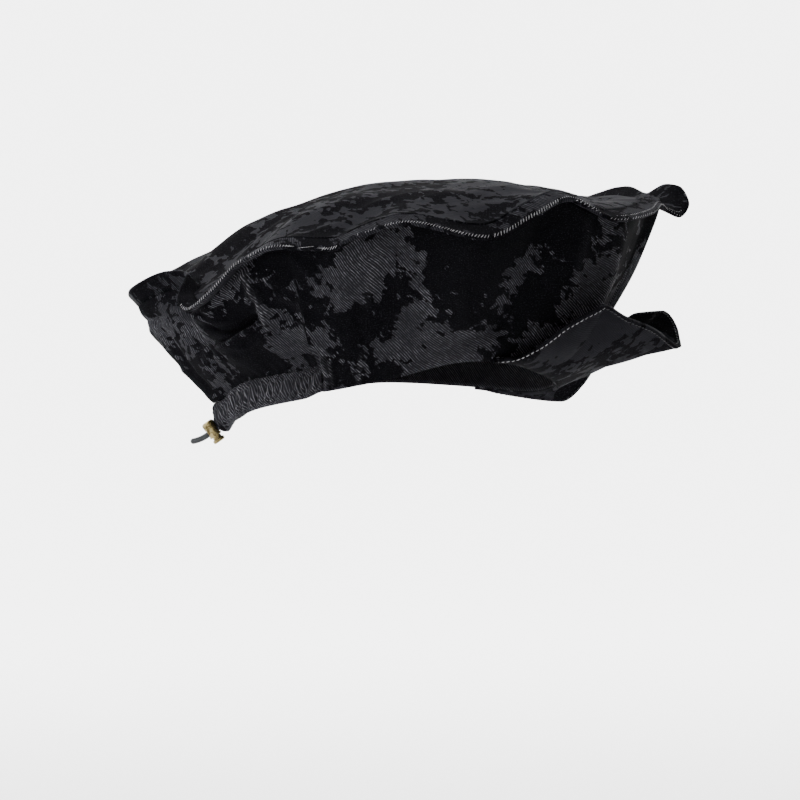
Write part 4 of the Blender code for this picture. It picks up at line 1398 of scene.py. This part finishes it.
def stitch_tree():
    """Lays stitches along a path. Its inputs are sizes in metres, angles in radians and a seed."""
    tree = bpy.data.node_groups.new("stitches_along_path", "GeometryNodeTree")
    tree.is_modifier = True
    names = {}
    for name, kind, value in STITCH_SOCKETS:
        socket = tree.interface.new_socket(name=name, in_out="INPUT", socket_type="NodeSocket" + kind)
        if value is not None:
            socket.default_value = value
        names[name] = socket.identifier
    tree.interface.new_socket(name="Geometry", in_out="OUTPUT", socket_type="NodeSocketGeometry")
    given = tree.nodes.new("NodeGroupInput").outputs
    line = wire(tree, "GeometryNodeMeshToCurve", {"Mesh": given["Geometry"]})
    spacing = {"Curve": line, "Length": given["Pitch"]}
    spaced = wire(tree, "GeometryNodeResampleCurve", spacing, mode="LENGTH")
    upright = add(tree, "GeometryNodeInputNamedAttribute", {"Name": "up"}, data_type="FLOAT_VECTOR")
    tangent = wire(tree, "GeometryNodeInputTangent")
    axes = {"Primary Axis": upright.outputs["Attribute"], "Secondary Axis": tangent}
    facing = wire(tree, "FunctionNodeAxesToRotation", axes, primary_axis="Z", secondary_axis="X")
    chance = {"Min": -LEAN_CHANGE, "Max": LEAN_CHANGE, "Seed": given["Seed"]}
    jitter = add(tree, "FunctionNodeRandomValue", chance, data_type="FLOAT").outputs["Value"]
    turn = wire(tree, "ShaderNodeCombineXYZ", {"Z": maths(tree, "ADD", given["Lean"], jitter)})
    turns = {"Rotation": facing, "Rotate By": wire(tree, "FunctionNodeEulerToRotation", {0: turn})}
    facing = wire(tree, "FunctionNodeRotateRotation", turns, rotation_space="LOCAL")
    shape = {"Segments": STITCH_SEGMENTS, "Rings": STITCH_RINGS, "Radius": 0.5}
    ball = add(tree, "GeometryNodeMeshUVSphere", shape).outputs["Mesh"]
    sides = {"X": given["Length"], "Y": given["Width"], "Z": given["Width"]}
    size = wire(tree, "ShaderNodeCombineXYZ", sides)
    stitch = wire(tree, "GeometryNodeTransform", {"Geometry": ball, "Scale": size})
    chance = {"Min": SMALL_STITCH, "Max": LARGE_STITCH, "Seed": given["Seed"]}
    change = add(tree, "FunctionNodeRandomValue", chance, data_type="FLOAT_VECTOR").outputs["Value"]
    gaps = add(tree, "ShaderNodeTexNoise", BARE_NOISE).outputs["Fac"]
    kept = maths(tree, "GREATER_THAN", gaps, given["Bare"])
    places = {"Points": spaced, "Instance": stitch, "Rotation": facing, "Selection": kept, "Scale": change}
    laid = wire(tree, "GeometryNodeInstanceOnPoints", places)
    real = wire(tree, "GeometryNodeRealizeInstances", {"Geometry": laid})
    smooth = wire(tree, "GeometryNodeSetShadeSmooth", {"Geometry": real})
    coloured = wire(tree, "GeometryNodeSetMaterial", {"Geometry": smooth, "Material": given["Thread"]})
    add(tree, "NodeGroupOutput", {0: coloured})
    return tree, names


stitches, stitch_inputs = stitch_tree()
print("stitch tree", len(stitches.nodes), "nodes")


def sew(name, points, ups, thread, pitch, length, width, lean=0.0, bare=0.0, seed=1):
    """A row of stitches along points, in millimetres, each standing on the way that ups gives."""
    mesh = bpy.data.meshes.new(name)
    edges = [(i, i + 1) for i in range(len(points) - 1)]
    mesh.from_pydata((points * MM).tolist(), edges, [])
    attribute = mesh.attributes.new("up", "FLOAT_VECTOR", "POINT")
    attribute.data.foreach_set("vector", np.asarray(ups, np.float32).ravel())
    path = put(name, mesh)
    sewing = path.modifiers.new("Sewing", "NODES")
    sewing.node_group = stitches
    values = {"Pitch": pitch * MM, "Length": length * MM, "Width": width * MM, "Lean": math.radians(lean)}
    values.update({"Bare": bare, "Seed": seed, "Thread": thread})
    for key, value in values.items():
        sewing[stitch_inputs[key]] = value
    made = plain(path)
    print(name, len(made.data.polygons), "faces")
    return made


# %% [markdown]
# The thread is undyed cotton gone grey. Past the peak's crest it is near black, painted shade, for the peak
# lies in shadow there. At this size its twisted plies show only as fine pale fibres, which noise gives.
# %% Thread
def cotton_thread(name, dark, pale):
    """Twisted cotton."""
    made, tree, shader = new_material(name, {"Roughness": 0.8})
    spot = add(tree, "ShaderNodeTexCoord").outputs["Object"]
    fibre = speckle(tree, spot, 1800.0, 3.0, 0.7)
    tree.links.new(mixed(tree, ranged(tree, fibre, 0.3, 0.7), dark, pale), shader.inputs["Base Color"])
    bumped(tree, shader, fibre, 0.5, 0.15)
    return made


pale_thread = cotton_thread("pale_thread", (0.04, 0.04, 0.042, 1.0), (0.30, 0.30, 0.31, 1.0))
grey_thread = cotton_thread("grey_thread", (0.03, 0.03, 0.032, 1.0), (0.12, 0.12, 0.125, 1.0))
dark_thread = cotton_thread("dark_thread", (0.004, 0.004, 0.005, 1.0), (0.013, 0.013, 0.015, 1.0))
print("threads", pale_thread.name, grey_thread.name, dark_thread.name)

# %% [markdown]
# Where the welt is folded the flock has rubbed off and the pale weft lies bare, so short slanting threads
# run along it like the strands of a rope. Each row of the table is one such stretch: where it starts and
# ends round the hat, how far in from the fold and up across it the line lies, and how the threads look.
# %% Rows of thread on the welt
THREADS = table(
    "start end along up pitch length width lean bare",
    (-145, -126, -0.3, 0.95, 1.7, 2.2, 0.42, 72, 0.36),
    (-124, -113.5, -0.5, 1.15, 1.7, 1.7, 0.40, 72, 0.42),
    (-113.5, -105, -0.4, 1.1, 8.6, 9.0, 0.30, 0, 0.0),
    (-105, -102, -0.3, 0.9, 1.3, 2.6, 0.40, 48, 0.0),
    (-97, -74, -0.9, 1.3, 1.6, 2.1, 0.40, 60, 0.38),
    (-76, -68.5, -0.7, 1.2, 1.8, 2.6, 0.42, 56, 0.34),
    (-67, -50, -0.8, 1.2, 2.0, 3.0, 0.46, 56, 0.34),
    (-49, -38, -1.2, 1.45, 1.7, 1.3, 0.36, 72, 0.44),
    (-44, 4, -0.2, 0.5, 2.9, 2.4, 0.42, 30, 0.46),
    (-32, 4, -2.6, 1.5, 2.0, 1.2, 0.36, 78, 0.42),
    (24, 100, -0.8, 1.2, 1.8, 2.2, 0.40, 62, 0.50),
    (104, 176, -0.8, 1.2, 1.8, 2.2, 0.40, 62, 0.50),
)


def on_welt(angles, along, up):
    """A line round the welt, some way out from its fold and up across it, and the way out of the cloth."""
    root, outwards, across = seam(angles)
    corner = root + outwards * (read(EDGE_RING, "width", angles) + along)[..., None] + across * up
    way = outwards * max(0.0, along + WELT_ROUND) + across * up
    way = way / np.linalg.norm(way, axis=-1, keepdims=True)
    return place(angles, corner[..., 0], corner[..., 1]), place(angles, way[..., 0], way[..., 1])


welt_rows = []
for index, row in enumerate(THREADS):
    angles = np.linspace(row.start, row.end, max(8, int((row.end - row.start) * 4)))
    line, way = on_welt(angles, row.along, row.up)
    looks = {"lean": row.lean, "bare": row.bare, "seed": index + 3}
    name = f"welt_threads_{index}"
    welt_rows.append(sew(name, line, way, pale_thread, row.pitch, row.length, row.width, **looks))
print("rows of thread on the welt", len(welt_rows))

# %% [markdown]
# The peak is topstitched close to its edge, through both layers. The row is laid on the upper side and
# again on the under side.
# %% Peak stitches
PEAK_STITCH_IN = 1.5
PEAK_STITCH_PITCH = 2.9
PEAK_STITCH_SIZE = (2.5, 0.75)


def on_peak(inwards, side, start, end):
    """A line a distance in from the peak's edge, on its upper (1) or under (-1) side, and the way out."""
    kept = slice(round(start * PEAK_COLUMNS), round(end * PEAK_COLUMNS) + 1)
    edge = peak_points[kept, -1]
    inner = peak_points[kept, -4]
    way_in = (inner - edge) / np.linalg.norm(inner - edge, axis=1, keepdims=True)
    along = np.gradient(edge, axis=0)
    normal = np.cross(way_in, along)
    normal /= np.linalg.norm(normal, axis=1, keepdims=True)
    normal *= np.sign(normal[:, 2:3].mean()) * side
    return edge + way_in * inwards + normal * (PEAK_THICK / 2), normal


# Past the crest the rows are sewn in near-black thread: painted shade on the part of the peak that lies in
# shadow.
PEAK_STITCHES = table(
    "start end side thread",
    (0.02, 0.27, -1, pale_thread),
    (0.27, 0.98, -1, dark_thread),
    (0.02, 0.30, 1, grey_thread),
    (0.30, 0.98, 1, dark_thread),
)
peak_rows = []
for index, row in enumerate(PEAK_STITCHES):
    line, way = on_peak(PEAK_STITCH_IN, row.side, row.start, row.end)
    looks = {"lean": 12.0, "seed": index + 9}
    name = f"peak_stitches_{index}"
    peak_rows.append(sew(name, line, way, row.thread, PEAK_STITCH_PITCH, *PEAK_STITCH_SIZE, **looks))
print("rows of stitches on the peak", len(peak_rows))

# %% [markdown]
# Every solid that a piece stands for is hidden, and every piece hangs on the body it moves with. The lock's
# plunger slides, so it rides on its own body.
# %% Hand over to the frame
REPLACED = (
    (wall, "crown_side"),
    (top, "crown_top"),
    (welt, "crown_edge"),
    (casing, "back_casing"),
    (peak, "peak"),
    (cord, "drawcord"),
    (barrel, "lock_barrel"),
    (plunger, "lock_plunger"),
)
for piece, node in REPLACED:
    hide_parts(node)
PARTS = (
    ((wall, top, welt, casing, peak, *welt_rows, *peak_rows), BODY, "flocked_denim"),
    ((cord,), BODY, "elastic_cord"),
    ((barrel,), BODY, "antique_brass"),
    ((plunger,), "plunger", "antique_brass"),
)
for pieces, body, slot in PARTS:
    for piece in pieces:
        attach(piece, body)
